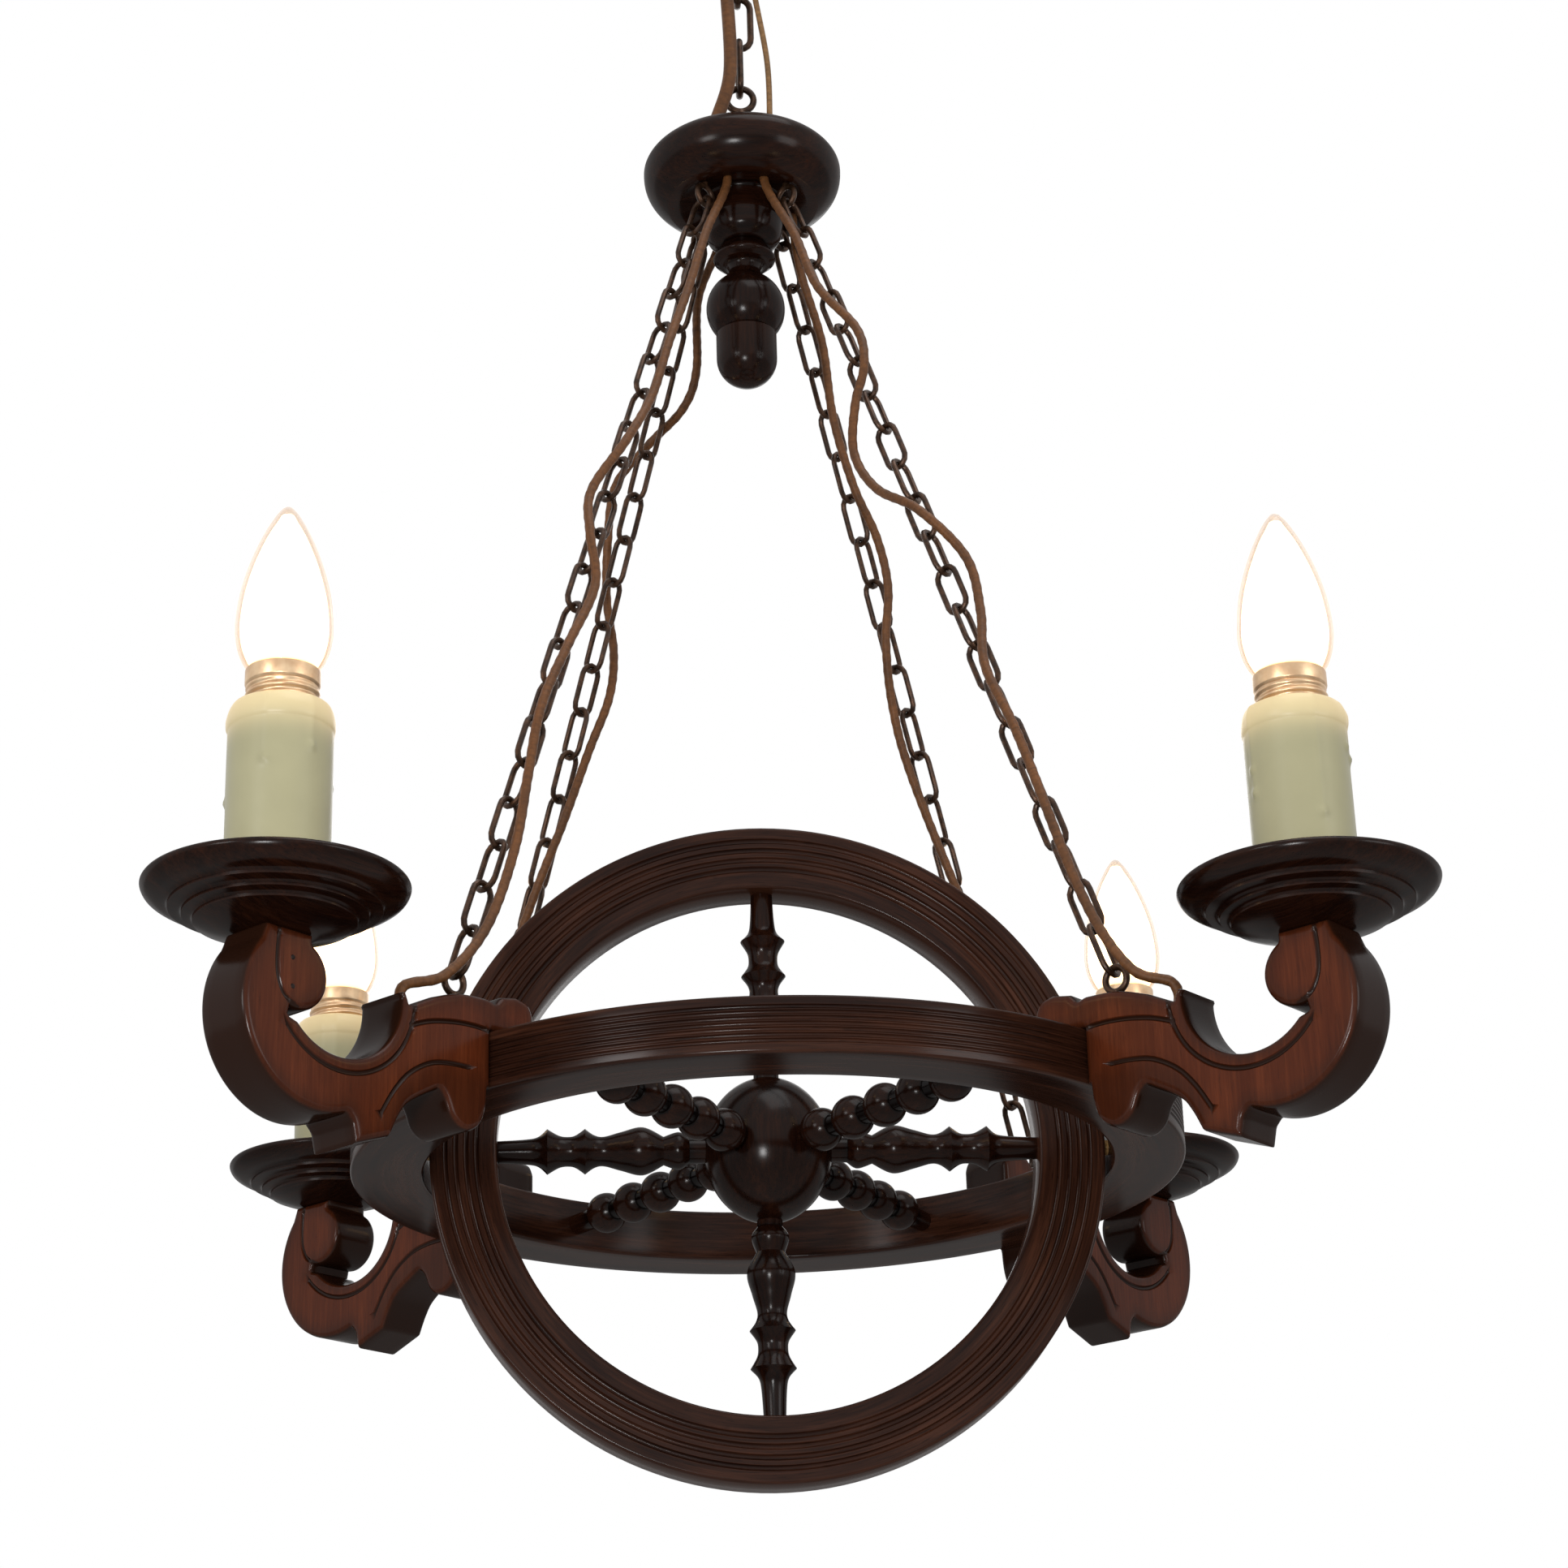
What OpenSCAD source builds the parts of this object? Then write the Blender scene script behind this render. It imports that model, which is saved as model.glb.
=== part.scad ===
// Hanging light of turned wood: an upright ring inside a flat ring, eight turned spokes, a ball
// hub, four scroll arms with candles, four chains to a small canopy, and a ceiling hook.
// Millimetres, +Z up. The origin is the middle of the ceiling plate's top face.

/* [Wheel] */
// Outer radius of the flat ring
flat_ring_r = 162.5; // [155:0.5:170]
// Width of the flat ring, from its inner to its outer face
flat_ring_w = 28; // [24:0.5:32]
// Height of the flat ring
flat_ring_h = 21; // [18:0.5:24]
// Gap between the flat ring and the upright ring inside it
ring_gap = 2.5; // [2:0.1:6]
// Width of the upright ring, from its inner to its outer face
upright_ring_w = 26; // [22:0.5:30]
// Thickness of the upright ring, from front to back
upright_ring_t = 20.5; // [18:0.5:23]
// Radius of the round grooves between the upright ring's reeds
reed_groove_r = 1.1; // [0.6:0.1:1.5]
// Radius of the fine grooves round the flat ring
fine_groove_r = 0.8; // [0.5:0.1:0.9]
// Spacing of the fine grooves
fine_groove_pitch = 2.05; // [1.9:0.05:2.2]
// Radius of the hub ball, measured level
hub_r = 25.2; // [23:0.1:28]
// Half height of the hub ball
hub_half_h = 29; // [27:0.5:32]
// Diameter of the dowels that join the two rings
ring_dowel_d = 6; // [4:0.5:8]

/* [Spokes] */
// Diameter of the spoke tenons
tenon_d = 7; // [5:0.5:8]
// Depth of the spoke tenons
tenon_l = 8; // [6:0.5:10]
// Radius of the baluster spokes' largest bulb
baluster_r = 9.4; // [8:0.1:11]
// Radius of the beads on the bobbin spokes
bead_r = 8.4; // [7:0.1:9.5]
// Number of beads on a bobbin spoke
bead_count = 5; // [4:1:5]
// Distance from the middle of the last bead to the flat ring
bead_margin = 22; // [18:0.5:24]
// Angle of the bobbin spokes from the upright ring
bobbin_angle = 57; // [50:1:65]

/* [Arms] */
// Thickness of the sawn scroll boards
arm_t = 23; // [20:0.5:26]
// Distance of a candle's axis from the flat ring's outer face
arm_reach = 91.5; // [86:0.5:100]
// Height of the seat of a drip pan above the middle of the wheel
arm_top = 26; // [24:0.5:30]
// Depth of the carved lines
carve_depth = 1; // [0.6:0.1:1.6]
// Width of the carved lines
carve_w = 1.8; // [1:0.1:2.5]
// Diameter of the dowels that hold the arms
arm_dowel_d = 8; // [6:0.5:10]
// Diameter of the hole that takes a cord into an arm
cord_hole_d = 5.4; // [5:0.1:6.5]

/* [Lights] */
// Radius of a drip pan
pan_r = 46.3; // [42:0.1:50]
// Height of a drip pan
pan_h = 19.5; // [17:0.5:22]
// Outer radius of a candle sleeve
sleeve_r = 18.4; // [17.8:0.1:20]
// Wall of a candle sleeve
sleeve_wall = 1.6; // [1.2:0.1:2]
// Length of a candle sleeve
sleeve_l = 67; // [60:0.5:80]
// Radius of a lamp holder
holder_r = 15.5; // [15.2:0.1:16]
// Diameter of the threaded tube under a lamp holder
nipple_d = 10; // [8:0.5:11]
// Radius of a bulb's screw cap
cap_r = 13.25; // [12.8:0.05:13.5]
// Length of a bulb's screw cap
cap_l = 26; // [24:0.5:28]
// How far the cap shows above the sleeve
cap_show = 14; // [11:0.5:16]
// Largest radius of a candle bulb's glass
glass_r = 17.75; // [16:0.05:19]
// Length of a candle bulb's glass
glass_l = 65; // [56:0.1:70]
// Thickness of the glass
glass_wall = 0.9; // [0.7:0.1:1.2]

/* [Chains] */
// Pitch of the chain links, which is their inner length in use
link_pitch = 19.7; // [18.5:0.1:21]
// Outer width of a chain link
link_w = 11.4; // [10.8:0.1:12.5]
// Wire diameter of a chain link
link_wire = 2.4; // [2:0.1:2.6]
// Number of links in a chain (odd, so that both end links face the same way)
link_count = 21; // [19:2:23]
// Mean radius of a screw eye
eye_r = 4.7; // [4.5:0.1:5.5]
// Wire diameter of a screw eye
eye_wire = 2.6; // [2.4:0.1:3]
// Distance of the upper screw eyes from the middle of the canopy
eye_top_u = 25; // [25:0.5:27]
// Distance of the lower screw eyes from the flat ring's outer face
eye_low_u = 7.5; // [7:0.5:10]

/* [Canopy] */
// Radius of the canopy
canopy_r = 43.5; // [40:0.5:48]
// Half height of the canopy's body at the rod
canopy_half_h = 16; // [15:0.5:18]
// Depth of the canopy's rounded underside, if it ran on to the rod
canopy_bulge = 22; // [18:0.5:25]
// Length of the turned stem below the canopy's body
stem_l = 30; // [28:0.5:34]
// Radius of the ball on the finial
finial_ball_r = 17.1; // [15:0.1:20]
// Length of the finial
finial_l = 60; // [56:0.5:66]
// Radius of the finial's round tip
finial_tip_r = 13.1; // [11:0.1:14.5]
// Diameter of the threaded rod through the canopy
rod_d = 10; // [8:0.5:11]

/* [Suspension] */
// Pitch of the heavy links that hang from the hook
heavy_pitch = 24; // [22:0.5:28]
// Outer width of a heavy link
heavy_w = 14; // [13:0.5:15]
// Wire diameter of a heavy link
heavy_wire = 3; // [2.6:0.1:3.2]
// Number of heavy links (odd, so that the canopy eye faces the front)
heavy_count = 3; // [3:2:5]
// Mean radius of the hook's loop
hook_r = 9; // [8:0.5:11]
// Wire diameter of the hook
hook_wire = 4; // [3.5:0.1:4.5]
// Radius of the ceiling plate
plate_r = 30; // [28:0.5:36]
// Thickness of the ceiling plate
plate_t = 3; // [2:0.5:4]
// Spacing of the two screw holes in the ceiling plate
screw_spacing = 44; // [40:0.5:46]
// Diameter of the screw holes in the ceiling plate
screw_hole_d = 4.5; // [3.5:0.5:5.5]

/* [Cords] */
// Diameter of the brown cords along the chains
cord_d = 4; // [3:0.1:4.2]
// Diameter of the supply cord
supply_d = 6; // [5:0.1:6.2]
// Diameter of the earth wire
earth_d = 2.6; // [2:0.1:3]

/* [Hidden] */

$fn = 48;
dark_wood = "#24140f";
ring_wood = "#3a2622";
arm_wood = "#7a4a2a";
bronze = "#3b2a1c";
brass = "#b08a4a";
steel = "#8d8d8d";
cord_brown = "#7a4a36";
wax = "#cfc9a4";

// Clearances: glued faces, links that hang in each other, a shaft in a bore, a bulb in its holder
// and a cord in its hole, the last one across
glue_gap = 0.1;
link_gap = 0.2;
bore_gap = 0.1;
bulb_gap = 0.35;
cord_slack = 0.6;
// How far a cut runs past the solid that it cuts
past = 1;
// Round edges of the rings
ring_edge = 1.2;

// Quadrants: front left, front right, back left, back right
FL = 225;
FR = 315;
BL = 135;
BR = 45;
QUADRANTS = [FL, FR, BL, BR];

// Rings
flat_in_r = flat_ring_r - flat_ring_w;
flat_top = flat_ring_h / 2;
upright_ring_r = flat_in_r - ring_gap;
upright_in_r = upright_ring_r - upright_ring_w;
ring_dowel_in = 10;

// Candle axis, and the stack on it, above the middle of the wheel
lamp_u = flat_ring_r + arm_reach;
pan_floor = arm_top + pan_h - 2;
nut_h = 5;
nut_d = nipple_d + 7;
holder_low = pan_floor + nut_h;
sleeve_top = pan_floor + sleeve_l;
cap_top = sleeve_top + cap_show;
cap_low = cap_top - cap_l;
holder_top = sleeve_top - 4;
nipple_low = arm_top - 12;
nipple_top = holder_low + 10;

// Screw eyes: their shanks, and the height of their rings over the wood
shank_d = 3;
shank_l = 12;
arm_back_top = flat_top + 11.4;
eye_low_z = arm_back_top + eye_r + 3;
eye_drop = canopy_half_h + eye_r + 1.3;

// Chain line from the lower to the upper eye, and the canopy height that it gives
chain_l = link_count * link_pitch + 2 * (eye_r - eye_wire / 2);
chain_run = flat_ring_r + eye_low_u - eye_top_u;
chain_rise = sqrt(chain_l * chain_l - chain_run * chain_run);
canopy_z = eye_low_z + chain_rise + eye_drop;
canopy_flat = 0.75 * canopy_half_h;
canopy_top = canopy_z + canopy_flat;
chain_lean = atan2(chain_run, chain_rise);

// Canopy inside: a wiring chamber under a lid
chamber_r = 26;
chamber_floor = -1;
lid_r = 27;
lid_t = 3;
cord_exit_u = 22;
cord_exit_t = 10;
supply_at = [-12, -8];
earth_at = [12, -5];

// Canopy eye and the heavy links, up to the hook
canopy_eye_r = 6;
eye_collar_r = 7.5;
eye_collar_h = 6;
eye_stem_h = 21;
canopy_eye_z = canopy_top + eye_stem_h + canopy_eye_r;
heavy_low = canopy_eye_z + canopy_eye_r - heavy_wire / 2;
hook_z = heavy_low + heavy_count * heavy_pitch + hook_r - hook_wire / 2;
hook_shank_l = 6;
hook_flange_r = 6;
hook_flange_t = 1.5;
plate_z = hook_z + hook_r + hook_shank_l;

// Height of the wheel's middle in the part's own frame
wheel_z = -(plate_z + plate_t);

// Connector at the top end of the supply cord
connector_size = [24, 10, 17];
connector_at = [-1, -15, hook_z - hook_r - 1];
connector_low = connector_at[2] - connector_size[2] / 2;

// Routes of the free cords: [u, t, h] is the distance from the canopy's axis, the distance to
// the side and the height above the wheel's middle
ROUTE_FL = [
    [22, 10, 446], [22, 10, 427], [36, 10.5, 398], [47, 9.5, 366], [60, 9.5, 334], [71, 9.5, 304],
    [86, 9, 278], [100, 2.5, 252], [105, 6.5, 230], [105.5, 9.5, 206], [120.5, 9.5, 176], [135, 9.5, 146],
    [142, 9.5, 116], [149, 9.5, 84], [163, 9.5, 50], [181, 7.5, 28], [195, 0.5, 22], [196, 0, 10.5]
];
ROUTE_FR = [
    [22, -10, 446], [22, -10, 427], [37, -9.5, 396], [48.5, -9.5, 366], [66, -6, 340], [71, -8, 320],
    [66.5, -9.5, 302], [65, -9.5, 280], [76, -9.5, 260], [97, -9.5, 243], [112.5, -0.5, 220],
    [119, -1.5, 194], [125, -8.5, 166], [139, -8.5, 132], [163.5, -9, 62], [181, -7, 30],
    [195, -0.5, 22], [196, 0, 10.5]
];
ROUTE_BL = [
    [22, -10, 446], [22, -10, 427], [36, -9.5, 402], [37, -8.5, 366], [46, -9, 350], [66, -8, 339],
    [79, 0, 320], [85, -1, 294], [91, -6.5, 270], [90, -9.5, 246], [91, -7.5, 224], [99, -3, 200],
    [110, 2, 168], [125, 7, 132], [163, 9.5, 54], [181, 7, 29], [195, 0.5, 22], [196, 0, 10.5]
];
ROUTE_BR = [
    [22, -10, 446], [22, -10, 427], [27, -9.5, 404], [40, -9.5, 374], [47, -8.5, 340], [59, -9, 310],
    [73, -9.5, 290], [79.5, -9.5, 268], [82, -5, 244], [91, 0, 218], [102, 0.5, 190], [122, -6, 140],
    [138, -9.5, 110], [163, -9.5, 50], [181, -7, 29], [195, -0.5, 22], [196, 0, 10.5]
];
ROUTE_SUPPLY = [
    [supply_at[0], supply_at[1], 452], [-12, -8.5, 466], [-5, -12, 492], [-6, -15, 536],
    [-6, -15, connector_low - glue_gap]
];
ROUTE_EARTH = [
    [earth_at[0], earth_at[1], 452], [12.5, -5, 466], [12, -8, 500], [6, -15, 536],
    [6, -15, connector_low - glue_gap]
];

// Catmull-Rom curve through the stations p, with k steps in each stretch
function bend(a, b, c, d, s) = 0.5 * ((2 * b) + (c - a) * s + (2 * a - 5 * b + 4 * c - d) * s * s
    + (3 * b - a - 3 * c + d) * s * s * s);
function spline(p, k = 3) = concat(
    [for (i = [0:len(p) - 2]) for (j = [0:k - 1])
        bend(p[max(i - 1, 0)], p[i], p[i + 1], p[min(i + 2, len(p) - 1)], j / k)],
    [p[len(p) - 1]]);
// Arc about c, from angle a to angle b in n steps
function arc(c, r, a, b, n = 12) =
    [for (i = [0:n]) let (at = a + (b - a) * i / n) c + r * [cos(at), sin(at)]];
function unit(v) = v / norm(v);
function heading(p, i) = unit(p[min(i + 1, len(p) - 1)] - p[max(i - 1, 0)]);
function flip(p) = [for (i = [len(p) - 1:-1:0]) p[i]];
// Outline of a line of width w drawn along p
function side(p, i, w) = p[i] + w / 2 * [-heading(p, i)[1], heading(p, i)[0]];
function ribbon(p, w) = concat([for (i = [0:len(p) - 1]) side(p, i, w)],
    flip([for (i = [0:len(p) - 1]) side(p, i, -w)]));

// Round tube with 8 sides along the points p
module tube(p, d) {
    n = 8;
    rings = [for (i = [0:len(p) - 1])
        let (t = heading(p, i), a = unit(cross(t, [0, 1, 0])), b = cross(t, a))
        for (k = [0:n - 1]) p[i] + d / 2 * (cos(360 * k / n) * a + sin(360 * k / n) * b)];
    sides = [for (i = [0:len(p) - 2]) for (k = [0:n - 1])
        let (m = (k + 1) % n)
        each [[i * n + k, (i + 1) * n + k, (i + 1) * n + m], [i * n + k, (i + 1) * n + m, i * n + m]]];
    last = (len(p) - 1) * n;
    caps = [for (k = [1:n - 2]) each [[0, k, k + 1], [last, last + k + 1, last + k]]];
    polyhedron(points = rings, faces = concat(sides, caps));
}

// Ring of round wire about the Y axis
module wire_ring(r, wire) {
    rotate([90, 0, 0]) rotate_extrude() translate([r, 0]) circle(d = wire);
}

// Half of a wire ring, above the XY plane
module wire_bow(r, wire) {
    rotate([90, 0, 0]) rotate_extrude(angle = 180) translate([r, 0]) circle(d = wire);
}

// Oval link in the XZ plane, standing on end, with its middle at the origin
module oval_link(pitch, w, wire) {
    bow_r = (w - wire) / 2;
    half = (pitch + link_gap) / 2 - (bow_r - wire / 2);
    for (turn = [0, 180]) rotate([0, turn, 0]) {
        translate([0, 0, half]) wire_bow(bow_r, wire);
        translate([bow_r, 0, -half]) cylinder(d = wire, h = 2 * half);
    }
}

// Turned wood about the Z axis: p runs up the outside as [radius, height]
module turned(p) {
    rotate_extrude() polygon(concat([[0, p[0][1]]], p, [[0, p[len(p) - 1][1]]]));
}

module at_wheel() {
    translate([0, 0, wheel_z]) children();
}

module at_lamp(angle) {
    at_wheel() rotate([0, 0, angle]) translate([lamp_u, 0, 0]) children();
}

// ---------- ceiling ----------

module ceiling_plate() {
    color(steel) difference() {
        translate([0, 0, -plate_t]) cylinder(r = plate_r, h = plate_t);
        translate([0, 0, -plate_t - past]) cylinder(d = hook_wire + 2 * bore_gap, h = plate_t + 2 * past);
        for (s = [-1, 1]) translate([s * screw_spacing / 2, 0, -plate_t - past])
            cylinder(d = screw_hole_d, h = plate_t + 2 * past);
    }
}

module ceiling_hook() {
    loop_start = 100;
    loop_turn = 305;
    color(steel) at_wheel() {
        translate([0, 0, hook_z]) rotate([90, 0, 0]) rotate([0, 0, loop_start])
            rotate_extrude(angle = loop_turn) translate([hook_r, 0]) circle(d = hook_wire);
        translate([0, 0, hook_z + hook_r - hook_wire / 4])
            cylinder(d = hook_wire, h = hook_shank_l + hook_wire / 4 + plate_t - 0.5);
        translate([0, 0, plate_z - hook_flange_t]) cylinder(r = hook_flange_r, h = hook_flange_t);
    }
}

module suspension_link_top() {
    color(bronze) at_wheel() translate([0, 0, heavy_low + (heavy_count - 0.5) * heavy_pitch])
        rotate([0, 0, 90]) oval_link(heavy_pitch, heavy_w, heavy_wire);
}

module suspension_links() {
    color(bronze) at_wheel() for (i = [0:heavy_count - 2])
        translate([0, 0, heavy_low + (i + 0.5) * heavy_pitch])
            rotate([0, 0, i % 2 == 0 ? 90 : 0]) oval_link(heavy_pitch, heavy_w, heavy_wire);
}

module cord_connector() {
    screw_d = 3.4;
    screw_depth = 4;
    color("ivory") at_wheel() translate(connector_at) difference() {
        cube(connector_size, center = true);
        for (x = [-8, 0, 8]) translate([x, -connector_size[1] / 2 - past, 2])
            rotate([-90, 0, 0]) cylinder(d = screw_d, h = screw_depth + past);
    }
}

module supply_cord() {
    color(cord_brown) at_wheel() tube(ROUTE_SUPPLY, supply_d);
}

module earth_wire() {
    color(cord_brown) at_wheel() tube(ROUTE_EARTH, earth_d);
}

// ---------- canopy ----------

module canopy_eye() {
    color(bronze) at_wheel() difference() {
        union() {
            translate([0, 0, canopy_eye_z]) wire_ring(canopy_eye_r, heavy_wire);
            translate([0, 0, canopy_top]) turned(concat(
                [[eye_collar_r, 0], [eye_collar_r, eye_collar_h]],
                spline([[5.2, eye_collar_h + 1], [3, eye_collar_h + 6], [2.6, eye_stem_h - 2],
                    [2.2, eye_stem_h]], 3)));
        }
        translate([0, 0, canopy_top - past]) cylinder(d = rod_d + 2 * bore_gap, h = eye_collar_h - 1 + past);
    }
}

module canopy_lid() {
    color(dark_wood) at_wheel() difference() {
        translate([0, 0, canopy_top - lid_t]) cylinder(r = lid_r - glue_gap, h = lid_t);
        translate([0, 0, canopy_top - lid_t - past]) {
            cylinder(d = rod_d + 2 * bore_gap, h = lid_t + 2 * past);
            translate(supply_at) cylinder(d = supply_d + cord_slack, h = lid_t + 2 * past);
            translate(earth_at) cylinder(d = earth_d + cord_slack, h = lid_t + 2 * past);
        }
    }
}

// Round body, collar and stem in one turning. The body is fuller under its widest line, where it is
// squarer than an ellipse
module canopy_disc() {
    fullness = 0.83;
    h = canopy_half_h;
    low = -h - stem_l;
    stem = spline([[11, low], [13.6, low + 2.5], [11.5, low + 6], [10.5, low + 8]], 3);
    cup = spline([[12.5, low + 9], [16, low + 13], [17.4, low + 19], [17.5, -h - 9]], 3);
    collar = spline([[17.5, -h - 7.5], [16.6, -h - 3], [17.4, -h + 1.2], [21, -h + 0.8]], 3);
    cove = [[25, -h + 0.4], [29, -h - 0.6]];
    under = [for (a = [45:-5:5]) [canopy_r * pow(cos(a), fullness), -canopy_bulge * pow(sin(a), fullness)]];
    top_a = asin(canopy_flat / h);
    over = [for (i = [0:9]) let (a = top_a * i / 9) [canopy_r * cos(a), h * sin(a)]];
    color(dark_wood) at_wheel() translate([0, 0, canopy_z]) difference() {
        turned(concat(stem, cup, collar, cove, under, over));
        translate([0, 0, low - past]) cylinder(d = rod_d + 2 * bore_gap, h = 2 * h + stem_l);
        translate([0, 0, chamber_floor]) cylinder(r = chamber_r, h = h);
        translate([0, 0, canopy_flat - lid_t]) cylinder(r = lid_r, h = h);
        for (q = [[FL, 1], [FR, -1], [BL, -1], [BR, -1]]) rotate([0, 0, q[0]])
            translate([cord_exit_u, q[1] * cord_exit_t, -h - past])
                cylinder(d = cord_d + cord_slack, h = h + past);
        for (a = QUADRANTS) rotate([0, 0, a]) translate([eye_top_u, 0, -h - past])
            cylinder(d = shank_d + 2 * bore_gap, h = shank_l);
    }
}

module canopy_terminal() {
    block = [18, 8, 8.5];
    color("ivory") at_wheel() translate([0, 14, canopy_z + chamber_floor + block[2] / 2])
        cube(block, center = true);
}

module canopy_rod() {
    low = canopy_z - canopy_half_h - stem_l - finial_l / 2;
    high = canopy_top + eye_collar_h - 1.3;
    color(steel) at_wheel() translate([0, 0, low]) cylinder(d = rod_d, h = high - low);
}

// Acorn: neck, ball and a round-ended tip
module finial() {
    top = -canopy_half_h - stem_l;
    low = top - finial_l;
    ball_z = top - 22.5;
    step_z = ball_z - 13;
    tip = arc([0, low + finial_tip_r], finial_tip_r, -90, 0, 8);
    ball = arc([0, ball_z], finial_ball_r, -49, 58, 12);
    neck = spline([[8, top - 7], [7, top - 4], [7.6, top - 1], [9.5, top]], 3);
    color(dark_wood) at_wheel() translate([0, 0, canopy_z]) difference() {
        turned(concat(tip, [[finial_tip_r, step_z]], ball, neck));
        translate([0, 0, top - finial_l / 2 - 2]) cylinder(d = rod_d + 2 * bore_gap, h = finial_l);
    }
}

// Screw eye with its ring about the origin and its shank along +Z
module screw_eye() {
    wire_ring(eye_r, eye_wire);
    translate([0, 0, eye_r - 0.5]) cylinder(d = shank_d, h = shank_l);
}

module canopy_hooks() {
    color(bronze) at_wheel() for (a = QUADRANTS) rotate([0, 0, a])
        translate([eye_top_u, 0, canopy_z - eye_drop]) screw_eye();
}

// ---------- chains and cords ----------

module chain(angle) {
    first = eye_r - eye_wire / 2 + link_pitch / 2;
    color(bronze) at_wheel() rotate([0, 0, angle]) translate([eye_top_u, 0, canopy_z - eye_drop])
        rotate([0, 180 - chain_lean, 0]) for (i = [0:link_count - 1])
            translate([0, 0, first + i * link_pitch]) rotate([0, 0, i % 2 == 0 ? 90 : 0])
                oval_link(link_pitch, link_w, link_wire);
}

module cord(angle, route) {
    color(cord_brown) at_wheel() rotate([0, 0, angle]) tube(route, cord_d);
}

// ---------- arms ----------

// Side view of a scroll arm as [distance from the wheel's axis, height]: the root follows the
// flat ring, and the scroll follows the candle's axis
U_CENTRE = [lamp_u - 22, arm_top - 12.5];
U_R = 27.5;
LOBE_CENTRE = [lamp_u - 2.2, arm_top - 15];
LOBE_R = 12.8;
BACK_CENTRE = [lamp_u - 12.5, arm_top - 27];
BACK_R = 34.5;

function root(x, z) = [flat_ring_r + x, z];
function scroll(x, z) = [lamp_u + x, arm_top + z];

ARM_OUTLINE = concat(
    [root(-22, flat_top + glue_gap), root(-0.5, flat_top + glue_gap), root(-0.5, -flat_top - 0.3)],
    spline([root(0.6, -flat_top - 0.3), root(1.5, -19), root(4, -25), root(9, -28.2), root(14, -28.2),
        root(18.5, -25), root(21.5, -19), root(24.5, -16)], 2),
    spline([scroll(-67, -42), scroll(-54, -49.5), scroll(-49, -55.5), scroll(-45, -63.5)], 2),
    [scroll(-29.2, -69.2), scroll(-27.5, -62)],
    arc(BACK_CENTRE, BACK_R, -111, 38, 22),
    [scroll(12.5, 0), scroll(-8, 0)],
    arc(LOBE_CENTRE, LOBE_R, 117, 285, 14),
    [scroll(2, -30.6)],
    arc(U_CENTRE, U_R, -45, -180, 16),
    [scroll(-48.5, -11), scroll(-51, -10), scroll(-53, -14.5)],
    spline([root(27.5, 17), root(14.5, 21.3), root(0.5, 22.3)], 3),
    [root(-3, 21.3), root(-6, 24.5)],
    spline([root(-13.5, 26), root(-19.5, 24.5), root(-22, 20)], 3)
);
CARVED_LINES = [
    arc(U_CENTRE, 33, -41, -188, 16),
    arc(LOBE_CENTRE, LOBE_R - 0.2, 42, -70, 10),
    spline([scroll(-53.5, -22), root(28.5, 7.5), root(16.5, 9.8), root(5.5, 10.4), root(-2.5, 9.5)], 2),
    spline([scroll(-40.3, -56), scroll(-46, -47), scroll(-53, -39.5), scroll(-62.5, -34),
        root(20, -6), root(10.5, -5.5)], 2)
];
WIRE_R = 36;
WIRE_D = 4.4;
cord_in_u = U_CENTRE[0] - WIRE_R;
nail_at = [scroll(1.4, -10.4), scroll(1.1, -20.6)];
nail_d = 2;
nail_l = 5.5;

module upright_board(t) {
    rotate([90, 0, 0]) linear_extrude(t, center = true) children();
}

module scroll_arm(angle, nails = false) {
    color(arm_wood) at_wheel() rotate([0, 0, angle]) difference() {
        upright_board(arm_t) polygon(ARM_OUTLINE);
        // the end is scribed to the flat ring
        translate([0, 0, -2 * flat_ring_h])
            cylinder(r = flat_ring_r + glue_gap, h = 2 * flat_ring_h + flat_top + glue_gap);
        for (s = [-1, 1]) for (line = CARVED_LINES)
            translate([0, s * arm_t / 2, 0]) upright_board(2 * carve_depth) polygon(ribbon(line, carve_w));
        // seat of the threaded tube
        translate([lamp_u, 0, nipple_low])
            cylinder(d = nipple_d + 2 * bore_gap, h = arm_top - nipple_low + past);
        // way for the cord: down at the crest, round under the scroll, and up to the tube
        translate([cord_in_u, 0, U_CENTRE[1] - 5]) cylinder(d = cord_hole_d, h = 20);
        translate([U_CENTRE[0], 0, U_CENTRE[1]]) rotate([90, 0, 0]) rotate([0, 0, 180])
            rotate_extrude(angle = 180) translate([WIRE_R, 0]) circle(d = WIRE_D);
        translate([lamp_u, 0, U_CENTRE[1] + 2.4]) rotate([0, 90, 0])
            cylinder(d = WIRE_D, h = U_CENTRE[0] + WIRE_R - lamp_u + WIRE_D / 2);
        // screw eye and dowel
        translate([flat_ring_r + eye_low_u, 0, eye_low_z - eye_r - shank_l])
            cylinder(d = shank_d + 2 * bore_gap, h = 2 * shank_l);
        translate([flat_ring_r - past, 0, 0]) rotate([0, 90, 0])
            cylinder(d = arm_dowel_d + 2 * bore_gap, h = 14.3 + past);
        if (nails) for (p = nail_at) translate([p[0], arm_t / 2 + past, p[1]])
            rotate([90, 0, 0]) cylinder(d = nail_d + 2 * bore_gap, h = nail_l + past);
    }
}

module arm_hooks() {
    color(bronze) at_wheel() for (a = QUADRANTS) rotate([0, 0, a])
        translate([flat_ring_r + eye_low_u, 0, eye_low_z]) rotate([180, 0, 0]) screw_eye();
}

module arm_dowels() {
    color("burlywood") at_wheel() for (a = QUADRANTS) rotate([0, 0, a])
        translate([flat_ring_r - 12, 0, 0]) rotate([0, 90, 0]) cylinder(d = arm_dowel_d, h = 26);
}

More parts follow.
